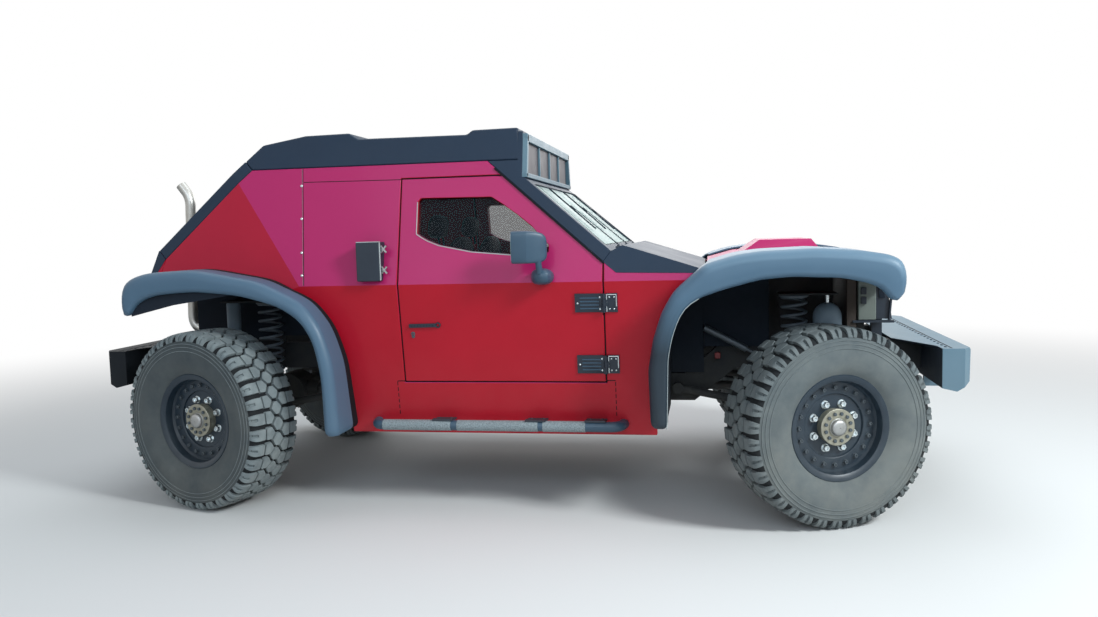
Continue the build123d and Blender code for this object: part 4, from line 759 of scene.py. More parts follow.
# %% Rims
rim_face = [(-0.145, 0.29), (-0.137, 0.29), (-0.136, 0.255), (-0.08, 0.25), (-0.062, 0.238), (0.072, 0.238),
            (0.088, 0.25), (0.1335, 0.255), (0.1335, 0.284), (0.1365, 0.2895), (0.141, 0.2905), (0.145, 0.2875),
            (0.145, 0.2825), (0.1415, 0.272), (0.138, 0.262), (0.133, 0.2545), (0.12, 0.251),
            (0.08, 0.2495), (0.074, 0.248), (0.071, 0.2455), (0.0735, 0.243), (0.0735, 0.24),
            (0.072, 0.179), (0.069, 0.1755), (0.06, 0.1735), (0.06, 0.0345), (-0.035, 0.0345),
            (-0.035, 0.195), (0.04, 0.195), (0.04, 0.228), (-0.066, 0.228), (-0.084, 0.24), (-0.145, 0.246)]


def bolt_circle(corner, count, circle, base, steps, sides=6, start=0.0):
    """Heads of sides corners on a bolt circle, each turned from steps of (height, radius)."""
    height, radius = np.asarray(steps, float).T
    angle = (np.arange(sides) * 2 * pi / sides)[:, None]
    y, x = circle + radius * np.cos(angle), radius * np.sin(angle)
    one = np.stack([np.broadcast_to(base + height, y.shape), np.arctan2(x, y), np.hypot(x, y)], -1)
    many = np.broadcast_to(one, (count, *one.shape)).copy()
    many[..., 1] += (np.arange(count) * 2 * pi / count + start)[:, None, None]
    return [orient(head, grid_faces(sides, len(steps), True, False)) for head in on_wheel(many, corner)]


cap_profile = [(0.105, 0.002), (0.105, 0.048), (0.1125, 0.048), (0.1145, 0.0455), (0.128, 0.0435),
               (0.1345, 0.038), (0.1372, 0.025), (0.138, 0.002)]
hub_profile = [(0.055, 0.0345), (0.055, 0.0955), (0.103, 0.0955), (0.106, 0.1), (0.11, 0.1), (0.112, 0.0975),
               (0.112, 0.056), (0.11, 0.054), (0.108, 0.0345)]
ring_bolt = [(-0.004, 0.015), (0.0022, 0.015), (0.0022, 0.0118), (0.014, 0.0118), (0.016, 0.01),
             (0.016, 0.006), (0.012, 0.0055), (0.012, 0.0002)]
hub_bolt = [(-0.004, 0.0105), (0.008, 0.0105), (0.0095, 0.0088), (0.0095, 0.0002)]
washer = [(-0.003, 0.0232), (0.0025, 0.0232), (0.004, 0.022), (0.004, 0.0002)]
nut = [(0.0, 0.0185), (0.02, 0.0185), (0.0235, 0.016), (0.0235, 0.01), (0.015, 0.0096), (0.015, 0.0002)]
for corner in corners:
    bolts = bolt_circle(corner, 20, 0.212, 0.0725, ring_bolt)
    bolts += bolt_circle(corner, 12, 0.075, 0.112, hub_bolt, 6, pi / 12)
    nuts = bolt_circle(corner, 8, 0.128, 0.06, washer, 20, pi / 8)
    nuts += bolt_circle(corner, 8, 0.128, 0.063, nut, 6, pi / 8)
    for name, parts, look, slot, stands_for, smooth in (
            ("rim", [turned(rim_face, corner, 120)], rim_black, "rim_paint", [f"wheel_{corner}"], 24),
            ("rim_bolts", bolts, bolt_grey, "rim_paint", (), 30),
            ("wheel_nuts", nuts, nut_steel, "damper_steel", (), 30),
            ("hub", [turned(hub_profile, corner, 72)], hub_brass, "exhaust_steel", (), 30),
            ("hub_cap", [turned(cap_profile, corner, 48)], bare_steel, "damper_steel", (), 40)):
        add_piece(f"{name}_{corner}", parts, look, slot, stands_for, f"wheel_{corner}", smooth)
print("rims, nuts and hubs at four corners")

# %% [markdown]
# ## Softened panels
#
# A CAD panel has edges of no width at all, and nothing real has.  Each panel is copied, its loose
# triangles are merged, flat neighbours are dissolved into whole faces, and a small bevel with
# hardened normals gives the bright line that sheet metal shows along its folds.  The front
# bumper's faces that look backwards are black: painted shade on its recessed side under the top plate.

# %% Softened panels
slot_of = {part["node"]: part["material_slot"] for part in frame["record"]["subparts"]}


def softened(node, width, segments=2, angle=24.0, name=None, lowest_x=None):
    """Merged copy of a CAD node with its sharp edges rounded by width; it replaces the node.

    With lowest_x, only what lies ahead of that x is copied.
    """
    mesh = nodes[node].data.copy()
    work = bmesh.new()
    work.from_mesh(mesh)
    if lowest_x is not None:
        bmesh.ops.delete(work, geom=[v for v in work.verts if v.co.x < lowest_x], context="VERTS")
    bmesh.ops.remove_doubles(work, verts=work.verts, dist=2e-5)
    bmesh.ops.dissolve_limit(work, angle_limit=radians(1.0), verts=work.verts, edges=work.edges)
    work.to_mesh(mesh)
    work.free()
    smooth_by_angle(mesh, angle)
    look = cad_finish.get(node, under_black)
    obj = place(name or f"{node}_panel", mesh, body_of[node], look, slot_of[node], [node])
    soften(obj, width, segments, angle)


soft_widths = {"body_sides": 0.004, "door_right": 0.004, "door_left": 0.004, "roof_cap": 0.012,
               "rear_slope": 0.006, "screen_frame": 0.006, "cowl": 0.004,
               "front_bumper": 0.006, "rear_bumper": 0.006, "tail_panel": 0.004, "side_box": 0.006,
               "bonnet": 0.004}
for node, width in soft_widths.items():
    softened(node, width)
bumper_mesh = bpy.data.objects["front_bumper_panel"].data
bumper_mesh.materials.append(trim_black)
# faces that look backwards take the black trim finish: painted shade
looks_back = np.empty(len(bumper_mesh.polygons) * 3)
bumper_mesh.polygons.foreach_get("normal", looks_back)
bumper_mesh.polygons.foreach_set("material_index", (looks_back[::3] < -0.6).astype(np.int32))
print(f"{len(soft_widths)} panels softened")

# %% [markdown]
# ## Arch flares and front fenders
#
# The flares are thick mouldings with a rounded outer face, bent round each arch.  A section is
# drawn across the arch at many stations: it comes from the body along the top, rolls over a
# large radius to the outer face, rolls in again at the lip, and comes back along the inside.
# Carrying that section from station to station gives one closed surface with soft highlights
# that a box-shaped flare could never show.

# %% Flares
crease_z, upper_lean, lower_lean = 1.346, radians(13.5), radians(7.5)


def half_width(z):
    """Half width of the body's outer face at height z: 1 m at the crease, leaning in above and below."""
    return 1.0 - abs(z - crease_z) * tan(upper_lean if z > crease_z else lower_lean)


def smooth_line(points, spacing=0.012, spread=0.035):
    """Polyline resampled evenly and blurred along its length, its ends kept where they are."""
    points = np.asarray(points, float)
    run = np.concatenate([[0], np.cumsum(np.hypot(*np.diff(points, axis=0).T))])
    at = np.linspace(0, run[-1], int(run[-1] / spacing) + 1)
    dense = np.stack([np.interp(at, run, points[:, k]) for k in range(2)], 1)
    reach = int(3 * spread / spacing)
    weight = np.exp(-0.5 * (np.arange(-reach, reach + 1) * spacing / spread) ** 2)
    weight /= weight.sum()
    before = 2 * dense[0] - dense[1:reach + 1][::-1]
    after = 2 * dense[-1] - dense[-reach - 1:-1][::-1]
    padded = np.concatenate([before, dense, after])
    return np.stack([np.convolve(padded[:, k], weight, "valid") for k in range(2)], 1)


def ray_hits(line, centre, angles):
    """Points where rays from centre at the given angles cross a line that turns once about it."""
    turn = np.unwrap(np.arctan2(line[:, 1] - centre[1], line[:, 0] - centre[0]))
    far = np.hypot(line[:, 0] - centre[0], line[:, 1] - centre[1])
    if turn[0] > turn[-1]:
        turn, far = turn[::-1], far[::-1]
    reach = np.interp(angles, turn, far)
    return np.stack([centre[0] + reach * np.cos(angles), centre[1] + reach * np.sin(angles)], 1)


def flare_section(depth, y_body, y_face, roll, lip_roll, thick, count=7):
    """Closed loop (across, y): along the top, quarter rolls to the face and at the lip, back inside."""
    quarter = np.linspace(0, pi / 2, count)
    top = [(0, y_body), (0, y_body + 0.34 * (y_face - roll - y_body))]
    upper = [(roll - roll * cos(q), y_face - roll + roll * sin(q)) for q in quarter]
    lower = [(depth - lip_roll + lip_roll * sin(q), y_face - lip_roll + lip_roll * cos(q)) for q in quarter]
    back = [(depth, y_face - lip_roll - 0.03), (depth - thick, y_face - lip_roll - 0.03),
            (depth - thick, y_face - lip_roll), (depth - lip_roll, y_face - thick), (roll, y_face - thick),
            (thick, y_face - roll), (thick, y_body)]
    return np.array(top + upper + lower + back)


def flare(outer, inner, centre, side, y_face, y_body, spread, stations=110, roll=0.055, lip_roll=0.03,
          thick=0.01):
    """Flare surface: one section a station between two arch lines, drawn in a little at its ends."""
    outer, inner = smooth_line(outer, spread=spread), smooth_line(inner, spread=spread)
    first = [np.arctan2(*(line[0] - centre)[::-1]) for line in (outer, inner)]
    last = [np.arctan2(*(line[-1] - centre)[::-1]) for line in (outer, inner)]
    low, high = sorted((np.mean(first), np.mean(last)))
    angles = np.linspace(low, high, stations)
    top, lip = ray_hits(outer, centre, angles), ray_hits(inner, centre, angles)
    across = lip - top
    depth = np.hypot(*across.T)
    across /= depth[:, None]
    rounding = np.minimum(np.arange(stations), np.arange(stations)[::-1]) / 3.0
    pull = np.sqrt(np.clip(1 - (1 - np.clip(rounding, 0, 1)) ** 2, 0, 1)) * 0.35 + 0.65
    points = []
    for k in range(stations):
        section = flare_section(depth[k], y_body(top[k, 0], top[k, 1]), y_face, roll, lip_roll, thick)
        middle = depth[k] / 2
        a = middle + (section[:, 0] - middle) * pull[k]
        past = section[:, 1] - y_face + roll
        y = np.where(section[:, 1] > y_face - roll, y_face - roll + past * pull[k], section[:, 1])
        points.append(np.stack([top[k, 0] + a * across[k, 0], side * y, top[k, 1] + a * across[k, 1]], 1))
    points = np.array(points)
    return points, capped_faces(*points.shape[:2])


rear_outer = np.array([(-0.925, 0.478), (-0.95, 0.9), (-1.01, 1.11), (-1.12, 1.262), (-1.39, 1.392),
                       (-1.8, 1.465), (-2.13, 1.45), (-2.27, 1.4), (-2.285, 1.2)])
rear_inner = np.array([(-1.012, 0.478), (-1.02, 0.824), (-1.059, 1.029), (-1.133, 1.154), (-1.265, 1.24),
                       (-1.512, 1.308), (-1.8, 1.335), (-2.06, 1.318), (-2.19, 1.27), (-2.225, 1.2)])
front_outer = np.array([(0.8815, 0.545), (0.872, 0.861), (0.9, 1.03), (0.95, 1.182), (1.013, 1.289),
                        (1.185, 1.44), (1.342, 1.485), (1.476, 1.503), (1.765, 1.512), (1.98, 1.496),
                        (2.13, 1.47), (2.192, 1.44), (2.212, 1.37), (2.215, 1.24)])
front_inner = np.array([(0.975, 0.545), (0.985, 0.932), (1.009, 1.051), (1.045, 1.15), (1.089, 1.215),
                        (1.163, 1.262), (1.299, 1.306), (1.475, 1.351), (1.633, 1.364), (1.885, 1.354),
                        (2.013, 1.326), (2.082, 1.299), (2.125, 1.24)])


def body_edge(x, z):
    """Where a rear flare's top meets the body: 15 mm inside its side."""
    return half_width(z) - 0.015


def fender_edge(x, z):
    """The front fender's top runs in under the bonnet's edge once it is ahead of the cab."""
    return 0.605 if x > 1.19 else body_edge(x, z)


for label, outer, inner, centre, edge, spread in (
        ("rear_flares", rear_outer, rear_inner, np.array((-1.7, 0.478)), body_edge, 0.052),
        ("front_fenders", front_outer, front_inner, np.array((1.56, 0.545)), fender_edge, 0.024)):
    parts = [flare(outer, inner, centre, side, 1.21, edge, spread) for side in both]
    mesh = mesh_of(label, parts, 35, True)
    place(f"{label}_moulding", mesh, "chassis", [cad_finish[label], gap_black], slot_of[label], [label])
    if label == "rear_flares":
        inner_side = np.zeros(parts[0][0].shape[:2], dtype=np.int32)[1:]
        inner_side[:, 0] = 1
        one_side = [*inner_side.ravel(), 0, 0]
        mesh.polygons.foreach_set("material_index", one_side * 2)
print("flares and fenders made")

# %% [markdown]
# ## Working on the body's side
#
# The body's side leans in above the crease and tucks under below it.  Everything fixed to it -
# seams, screws, hinges, strips - has to lie on those two planes, so a few helpers give the
# point, the outward direction and a flat bar at any (x, z).  Both sides of the car share them.

# %% Side helpers
def side_normal(z, side):
    """Outward direction of the body's side at height z; side is -1 right, +1 left."""
    lean = upper_lean if z > crease_z else -lower_lean
    return np.array((0.0, side * cos(lean), sin(lean)))


def side_point(x, z, side, stand=0.0):
    """Point of the body's side at (x, z), moved out by stand."""
    return np.array((x, side * half_width(z), z)) + stand * side_normal(z, side)


def bar_between(first, last, width, thick, normal, sink=0.0):
    """Flat bar from first to last that looks along normal, its underside sunk by sink."""
    length = float(np.linalg.norm(last - first))
    along = (last - first) / length
    middle = (first + last) / 2 + normal * (thick / 2 - sink)
    return box_solid(middle, (length, width, thick), along, np.cross(normal, along))


def side_bar(start, end, width, thick, side, sink=0.002, stand=0.0):
    """Flat bar on the side from (x, z) start to end, sunk a little so that it never floats."""
    first, last = side_point(*start, side, stand), side_point(*end, side, stand)
    return bar_between(first, last, width, thick, side_normal((start[1] + end[1]) / 2, side), sink)


def side_screw(x, z, side, stand, radius, rise, sides=14, level=None):
    """Screw on the side at (x, z); with level it looks as the side does at that height."""
    return screw(side_point(x, z, side, stand), side_normal(level or z, side), radius, rise, sides)


def screw(place_at, axis, radius=0.006, rise=0.003, sides=14):
    """Domed screw head: flat flange, rounded rim and a small hollow in the middle."""
    profile = [(-0.003, 0.0001), (-0.003, radius), (0.3 * rise, radius), (0.8 * rise, 0.8 * radius),
               (rise, 0.5 * radius), (rise, 0.36 * radius), (0.4 * rise, 0.3 * radius), (0.4 * rise, 0.0001)]
    return disc_solid(profile, place_at, axis, sides)


def hex_head(place_at, axis, radius=0.009, rise=0.007):
    """Six-sided bolt head with its upper edge chamfered."""
    profile = [(-0.003, 0.0001), (-0.003, radius), (0.75 * rise, radius), (rise, 0.84 * radius), (rise, 0.0001)]
    return disc_solid(profile, place_at, axis, 6)


print("side helpers ready")

# %% [markdown]
# ## Panel seams and their screws
#
# The rear side panel is screwed on along an upright seam, and a second seam runs level from it
# to the door.  Below the door a row of short slots closes off the sill panel.  A seam is seen
# as a thin dark line with a pale worn edge beside it; thin bars that stand a third of a
# millimetre proud give the same line without cutting the panel.

# %% Seams and screws
seam_lines = [((-1.236, 2.058), (-1.188, 1.35)), ((-1.224, 1.974), (-0.604, 1.968))]
sill_lines = [((0.618, 0.768), (0.668, 0.768)), ((-0.65, 0.762), (-0.602, 0.762))]
slot_x, slot_z, slot_tall = (-0.65, 0.668), np.arange(0.555, 0.745, 0.036), 0.024
screw_spots = [(-1.2385, 1.952), (-1.2255, 1.751), (-1.2125, 1.546), (-1.2035, 1.41)]
seam_rise, edge_shift = 0.0023, 0.005
seams, edges, screws = [], [], []
for side in both:
    seams += [side_bar(a, b, 0.0045, seam_rise, side) for a, b in seam_lines]
    seams += [side_bar(a, b, 0.0055, seam_rise, side) for a, b in sill_lines]
    seams += [side_bar((x, z), (x, z + slot_tall), 0.005, seam_rise, side) for x in slot_x for z in slot_z]
    start, end = [(x - edge_shift, z) for x, z in seam_lines[0]]
    edges.append(side_bar(start, end, 0.0035, 0.0024, side))
    screws += [side_screw(x, z, side, 0.0, 0.0085, 0.004) for x, z in screw_spots]
add_piece("panel_seams", seams, gap_black, "red_paint")
add_piece("panel_seam_edges", edges, seam_edge, "red_paint")
add_piece("panel_screws", screws, nut_steel, "damper_steel", smooth=50)
print(len(seams), "seam bars,", len(screws), "screws")

# %% [markdown]
# ## Rubber strips
#
# A black strip closes the joint between each screen pillar and the door, and another frames
# the windscreen.  A rubber seal runs all round each door opening, deep in its gap, and strips
# lie beside the bonnet and under its nose as gutters, so that no daylight shows through a joint.
# The door seal bends at the body's crease, so it has a corner there.

# %% Rubber strips
pillar_line = [(-0.03, 2.0143), (0.616, 1.4497)]
seal_line = [(-0.601, 0.758), (-0.601, crease_z), (-0.601, 1.972), (0.016, 1.972), (0.616, 1.4555),
             (0.616, crease_z), (0.616, 0.758), (-0.601, 0.758)]
strips = []
for side in both:
    strips.append(side_bar(*pillar_line, 0.01, 0.01, side, 0.004, 0.002))
    strips += [side_bar(a, b, 0.014, 0.004, side, 0.0, -0.0125) for a, b in zip(seal_line, seal_line[1:])]
screen_high, screen_foot = np.array((0.166, 0.0, 1.95)), np.array((0.661, 0.0, 1.516))
screen_run = screen_foot - screen_high
screen_long = float(np.linalg.norm(screen_run))
screen_down = screen_run / screen_long
screen_out = np.cross((0, 1, 0), screen_down)
screen_out = screen_out if screen_out[2] > 0 else -screen_out


def on_screen(down, y, stand=0.0):
    """Point of the screen's plane: down metres from its top edge, y across, stand metres above the glass."""
    return screen_high + screen_down * down + np.array((0, y, 0)) + screen_out * stand


def screen_bar(start, end, width, thick, stand=0.0):
    """Bar on the screen between two (down, y) points."""
    return bar_between(on_screen(*start, stand), on_screen(*end, stand), width, thick, screen_out)


def screen_half(down):
    """Half width of the screen opening at a distance down from its top edge."""
    return half_width(on_screen(down, 0)[2]) - 0.085


frame_inset = 0.055
frame_downs = (frame_inset, screen_long - frame_inset)
frame_corners = [(down, side * screen_half(down)) for side, downs in ((-1, frame_downs), (1, frame_downs[::-1]))
                 for down in downs]
strips += [screen_bar(a, b, 0.005, 0.002) for a, b in zip(frame_corners, frame_corners[1:] + frame_corners[:1])]
gutter_line = np.array([(1.26, 0, 1.425), (1.37, 0, 1.452), (1.8, 0, 1.474), (2.06, 0, 1.448),
                        (2.19, 0, 1.3815)])
gutter_y, overlap = 0.5955, 0.002
for start, end in zip(gutter_line, gutter_line[1:]):
    length = float(np.linalg.norm(end - start))
    strips += [box_solid((start + end) / 2 + (0, side * gutter_y, 0), (length + overlap, 0.021, 0.004),
                         (end - start) / length) for side in both]
strips.append(box_solid((2.181, 0, 1.37675), (0.01, 1.196, 0.0215)))
add_piece("rubber_strips", strips, gap_black, "dark_trim", bevel=0.0015, segments=1)
print("screen", round(screen_long, 3), "m long, half widths", [round(abs(y), 3) for _, y in frame_corners[:2]])

# %% [markdown]
# ## Wipers
#
# Three long arms rise from the cowl and lie on the screen.  Each has a pivot cap, a thin arm
# that thickens towards its pivot, and a straight blade held at its middle.  A round bar carried
# along a line of points makes the arm; the blade is a narrow box with a rubber edge below it.

# %% Wipers
def wiper(foot_y, tip):
    """Arm from a pivot at the screen's foot to the middle of its blade; tip is (down, y)."""
    foot_down = screen_long - 0.012
    share = np.linspace(0, 1, 9)
    lift = 0.022 - 0.009 * share
    arm = np.array([on_screen(foot_down + (tip[0] - foot_down) * s, foot_y + (tip[1] - foot_y) * s, h)
                    for s, h in zip(share, lift)])
    parts = [tube_solid(arm, 0.0036 - 0.0014 * share, 8)]
    parts.append(disc_solid([(-0.03, 0.0001), (-0.03, 0.011), (0.018, 0.011), (0.024, 0.007), (0.026, 0.0001)],
                            on_screen(foot_down, foot_y), screen_out, 16))
    tip = np.array(tip)
    way = tip - (foot_down, foot_y)
    way /= np.linalg.norm(way)
    blade, clip = (tip + 0.2 * way, tip - 0.2 * way), (tip - 0.02 * way, tip + 0.02 * way)
    parts += [screen_bar(*blade, 0.004, 0.003, 0.006), screen_bar(*blade, 0.003, 0.007, 0.0),
              screen_bar(*clip, 0.01, 0.007, 0.008)]
    return parts


wiper_parts = [part for foot, tip in ((-0.52, (0.27, -0.47)), (0.02, (0.27, 0.08)), (0.56, (0.27, 0.6)))
               for part in wiper(foot, tip)]
add_piece("wipers", wiper_parts, trim_black, "dark_trim", smooth=40)
print("3 wipers")

# %% [markdown]
# ## Roof lamp frame
#
# The lamps sit side by side in one upright frame across the roof's front: a wide top flange, a
# bottom rail, two end plates and three thin bars between four panes.  Bars joined at their ends
# keep the bright edges straight, where a bevel on a plate with four holes would twist them.

# %% Roof lamp frame
lamp_x, lamp_bottom, lamp_top = (0.134, 0.166), 1.955, 2.215
# Painted sunlight: a paler copy of the roof's dark satin for the lamp frame.
frame_paint = finish("lamp_frame_painted_sunlight", (0.085, 0.165, 0.215), (0.11, 0.195, 0.245), 0.36, dust=0.05,
                     dust_top=3.0, drift=9)
lamp_mid_x, lamp_deep = sum(lamp_x) / 2, lamp_x[1] - lamp_x[0]
lamp_mid_z, lamp_tall = (lamp_bottom + lamp_top) / 2, lamp_top - lamp_bottom
pane_edges = (-0.742, -0.37, 0.0, 0.37, 0.742)


def lamp_half_at(z):
    """Half width of the roof at height z, where the frame's ends stand."""
    return half_width(z) - 0.001


rails = [box_solid((lamp_mid_x, 0, z_mid), (lamp_deep, 2 * lamp_half_at(z_mid), tall))
         for z_mid, tall in ((lamp_top - 0.024, 0.048), (lamp_bottom + 0.014, 0.028))]
backs = []
for side in both:
    outer = np.array([(0, side * lamp_half_at(z), z) for z in (lamp_bottom, lamp_top)])
    lean = (outer[1] - outer[0]) / np.linalg.norm(outer[1] - outer[0])
    upright = (1, 0, 0), np.cross(lean, (1, 0, 0))
    end = outer.mean(0) + (0, -side * 0.02, 0)
    rails.append(box_solid(end + (lamp_mid_x, 0, 0), (lamp_deep, 0.036, lamp_tall), *upright))
    backs.append(box_solid(end + (0.121, 0, 0.004), (0.03, 0.038, lamp_tall + 0.02), *upright))
rails += [box_solid((lamp_mid_x - 0.004, y, lamp_mid_z), (lamp_deep - 0.008, 0.018, lamp_tall - 0.02))
          for y in pane_edges[1:-1]]
backs.append(box_solid((0.118, 0, lamp_mid_z), (0.022, 2 * lamp_half_at(lamp_top) - 0.03, lamp_tall)))
add_piece("lamp_frame", rails, frame_paint, "roof_paint", ["roof_lamp_frame"], bevel=0.004)
add_piece("lamp_frame_shell", backs, roof_satin, "roof_paint", bevel=0.003)
panes = [box_solid((0.142, (low_y + high_y) / 2, lamp_mid_z), (0.007, high_y - low_y - 0.014, lamp_tall - 0.05))
         for low_y, high_y in zip(pane_edges, pane_edges[1:])]
add_piece("lamp_panes", panes, lamp_grey, "lamp_lens", ["roof_lamps"], bevel=0.002)
print("lamp frame with", len(panes), "panes")

# %% [markdown]
# ## Door mirror, handle and lock
#
# The mirror is a deep moulded housing: flat where its glass is, with an upright fold on its
# outer face, drawn in towards the front.  Rounded-rectangle sections carried along X and joined
# give exactly that.  Its stalk stands in a rounded pivot on the door.  The handle is a flat lever
# with a ring at its end.

# %% Mirror, handle, lock
def squared_up(value, power):
    """The value to the power 2 / power with its sign kept, which turns a circle into a superellipse."""
    return np.sign(value) * np.abs(value) ** (2 / power)


def rounded_loft(sections, power=5.0, count=40):
    """Closed form through sections (x, y_out, y_in, z_low, z_high): superellipses of the given power."""
    sections = np.asarray(sections, float)
    angle = np.arange(count) * 2 * pi / count
    y_unit, z_unit = squared_up(np.cos(angle), power), squared_up(np.sin(angle), power)
    y = sections[:, 1:3].mean(1)[:, None] + (sections[:, 1] - sections[:, 2])[:, None] / 2 * y_unit
    z = sections[:, 3:5].mean(1)[:, None] + (sections[:, 4] - sections[:, 3])[:, None] / 2 * z_unit
    x = np.broadcast_to(sections[:, :1], y.shape)
    points = np.stack([x, y, z], -1).reshape(-1, 3)
    return points, capped_faces(len(sections), count)


def mirrored(points, side):
    """The right-hand side's points (y < 0) put on the given side."""
    points = np.array(points, float)
    points[..., 1] *= -side
    return points


mirror_sections = [(0.1215, -1.15, -1.078, 1.468, 1.634), (0.124, -1.157, -1.072, 1.461, 1.64),
                   (0.14, -1.159, -1.07, 1.459, 1.641), (0.208, -1.159, -1.066, 1.459, 1.641),
                   (0.214, -1.157, -1.066, 1.459, 1.64), (0.265, -1.128, -1.064, 1.462, 1.634),
                   (0.29, -1.112, -1.064, 1.468, 1.624), (0.306, -1.1, -1.066, 1.48, 1.608),
                   (0.313, -1.09, -1.072, 1.5, 1.585)]
glass_sections = [(0.12, -1.147, -1.081, 1.471, 1.631), (0.1222, -1.147, -1.081, 1.471, 1.631)]
foot_sections = [(0.208, -1.02, -0.988, 1.364, 1.396), (0.213, -1.042, -0.978, 1.35, 1.409),
                 (0.228, -1.07, -0.97, 1.339, 1.42), (0.256, -1.096, -0.968, 1.334, 1.427),
                 (0.29, -1.104, -0.968, 1.334, 1.428), (0.316, -1.094, -0.971, 1.341, 1.419),
                 (0.329, -1.07, -0.977, 1.352, 1.406), (0.334, -1.04, -0.985, 1.366, 1.392)]
stalk = np.array([(0.268, -1.08, 1.405), (0.268, -1.09, 1.43), (0.267, -1.098, 1.452), (0.266, -1.102, 1.475)])
stalk_radii = [0.021, 0.019, 0.018, 0.02]
handle_z, lock_x = 1.1, -0.527
ring_profile = [(-0.004, 0.0095), (-0.004, 0.017), (0.0085, 0.017), (0.0105, 0.015), (0.0105, 0.0115),
                (0.0085, 0.0095)]
lock_ring = [(-0.003, 0.004), (-0.003, 0.0125), (0.004, 0.0125), (0.005, 0.0105), (0.005, 0.004)]
lock_disc = [(-0.003, 0.0001), (-0.003, 0.0105), (0.004, 0.0105), (0.005, 0.0085), (0.005, 0.0001)]
for label, side in sides.items():
    door = f"door_{label}"
    parts = [(mirrored(points, side), faces) for points, faces in
             (rounded_loft(mirror_sections, 6.0), rounded_loft(foot_sections, 2.3))]
    parts.append(tube_solid(mirrored(stalk, side), stalk_radii, 16))
    shell_piece(f"mirror_housing_{label}", parts, housing_satin, "dark_trim", body=door)
    handle = [side_bar((-0.547, 1.1), (-0.382, 1.103), 0.022, 0.013, side),
              ring_solid(ring_profile, side_point(-0.37, 1.1035, side), side_normal(handle_z, side), 28)]
    add_piece(f"door_handle_{label}", handle, trim_black, "dark_trim", bevel=0.002, body=door)
    back = rounded_loft(glass_sections, 6.0)
    shell_piece(f"mirror_glass_{label}", [(mirrored(back[0], side), back[1])], nut_steel, "glass", body=door)
    dimples = [side_screw(x, 1.1015, side, 0.0105, 0.003, 0.0012, 10, handle_z)
               for x in np.linspace(-0.53, -0.4, 8)]
    add_piece(f"handle_dimples_{label}", dimples, gap_black, "dark_trim", smooth=50, body=door)
    out = side_normal(1.05, side)
    lock = [ring_solid(lock_ring, side_point(lock_x, 1.052, side), out, 24),
            disc_solid(lock_disc, side_point(lock_x, 1.036, side), out, 24)]
    add_piece(f"door_lock_{label}", lock, bolt_grey, "dark_trim", smooth=50, body=door)
print("mirrors, handles and locks on both doors")

# %% [markdown]
# ## Hinges
#
# Each door hangs on two strap hinges.  The door's leaf is a pressed plate with shallow ribs and
# three screws; the body's leaf has a raised bright rim round four screws, with the pin's barrel
# between them.  The CAD leaves stay for their exact swing: their copy keeps only the parts that
# belong to the hinges, and the ribs and screws are added on top.

# %% Hinges
hinge_heights = (1.2235, 0.865)
leaf_face, rim_face_stand = 0.009, 0.008
rim_lines = [((0.634, -0.05), (0.634, 0.05)), ((0.632, 0.049), (0.69, 0.049)), ((0.689, 0.05), (0.689, -0.02))]
for label, side in sides.items():
    door = f"door_{label}"
    softened(f"door_fittings_{label}", 0.0012, 1, 30, f"hinge_leaves_door_{label}", 0.44)
    ribs, bolts, rims, body_bolts = [], [], [], []
    for z in hinge_heights:
        ribs += [side_bar((0.48, z + row), (0.59, z + row), 0.008, 0.0025, side, 0.001, leaf_face)
                 for row in (-0.03, -0.01, 0.01, 0.03)]
        bolts += [side_screw(x, z + up, side, leaf_face, 0.0065, 0.004, level=z)
                  for x, up in ((0.467, 0.0), (0.596, 0.034), (0.596, -0.034))]
        rims += [side_bar((a, z + low), (b, z + high), 0.006, 0.006, side, 0.001, rim_face_stand)
                 for (a, low), (b, high) in rim_lines]
        body_bolts += [side_screw(x, z + up, side, rim_face_stand, 0.0055, 0.004, level=z)
                       for x in (0.65, 0.676) for up in (-0.034, 0.034)]
    for name, parts, look, slot, body, options in (
            ("ribs", ribs, housing_satin, "dark_trim", door, {"bevel": 0.0008, "segments": 1}),
            ("screws", bolts, nut_steel, "damper_steel", door, {"smooth": 50}),
            ("rims", rims, nut_steel, "damper_steel", "chassis", {"bevel": 0.0015, "segments": 1}),
            ("body_screws", body_bolts, nut_steel, "damper_steel", "chassis", {"smooth": 50})):
        add_piece(f"hinge_{name}_{label}", parts, look, slot, body=body, **options)
print("hinge screws and rims on", len(sides) * len(hinge_heights), "hinges")

# %% [markdown]
# ## Side box
#
# A small locker behind the right door.  Its lid has a pale worn rim on top and towards the
# door, and two butterfly latches stand on its front edge: a short post with two crossed wings.

# %% Side box
rim_steel = finish("rim_worn", (0.42, 0.47, 0.47), (0.3, 0.35, 0.36), 0.45, dust=0.1, dust_top=3.0, drift=25,
                   grain=400, bump=0.3)
rim_bars = [box_solid((-0.76, -1.03, 1.601), (0.14, 0.028, 0.005)),
            box_solid((-0.6865, -1.038, 1.487), (0.005, 0.012, 0.222))]
add_piece("side_box_rim", rim_bars, rim_steel, "dark_trim", bevel=0.0015)
latch_post = [(-0.002, 0.0001), (-0.002, 0.0085), (0.015, 0.0085), (0.017, 0.006), (0.017, 0.0001)]
wings = []
for z in (1.557, 1.434):
    wings.append(disc_solid(latch_post, (-0.685, -1.012, z), (1, 0, 0), 16))
    for turn in (radians(40), radians(-40)):
        wings.append(box_solid((-0.672, -1.012, z), (0.01, 0.014, 0.052), (cos(turn), 0, -sin(turn))))
add_piece("side_box_latches", wings, bare_steel, "dark_trim", bevel=0.0015)
print("locker rim and two latches")

# %% [markdown]
# ## Window trim
#
# A pale channel holds the door glass; it shows along the rear and lower edges of the opening.

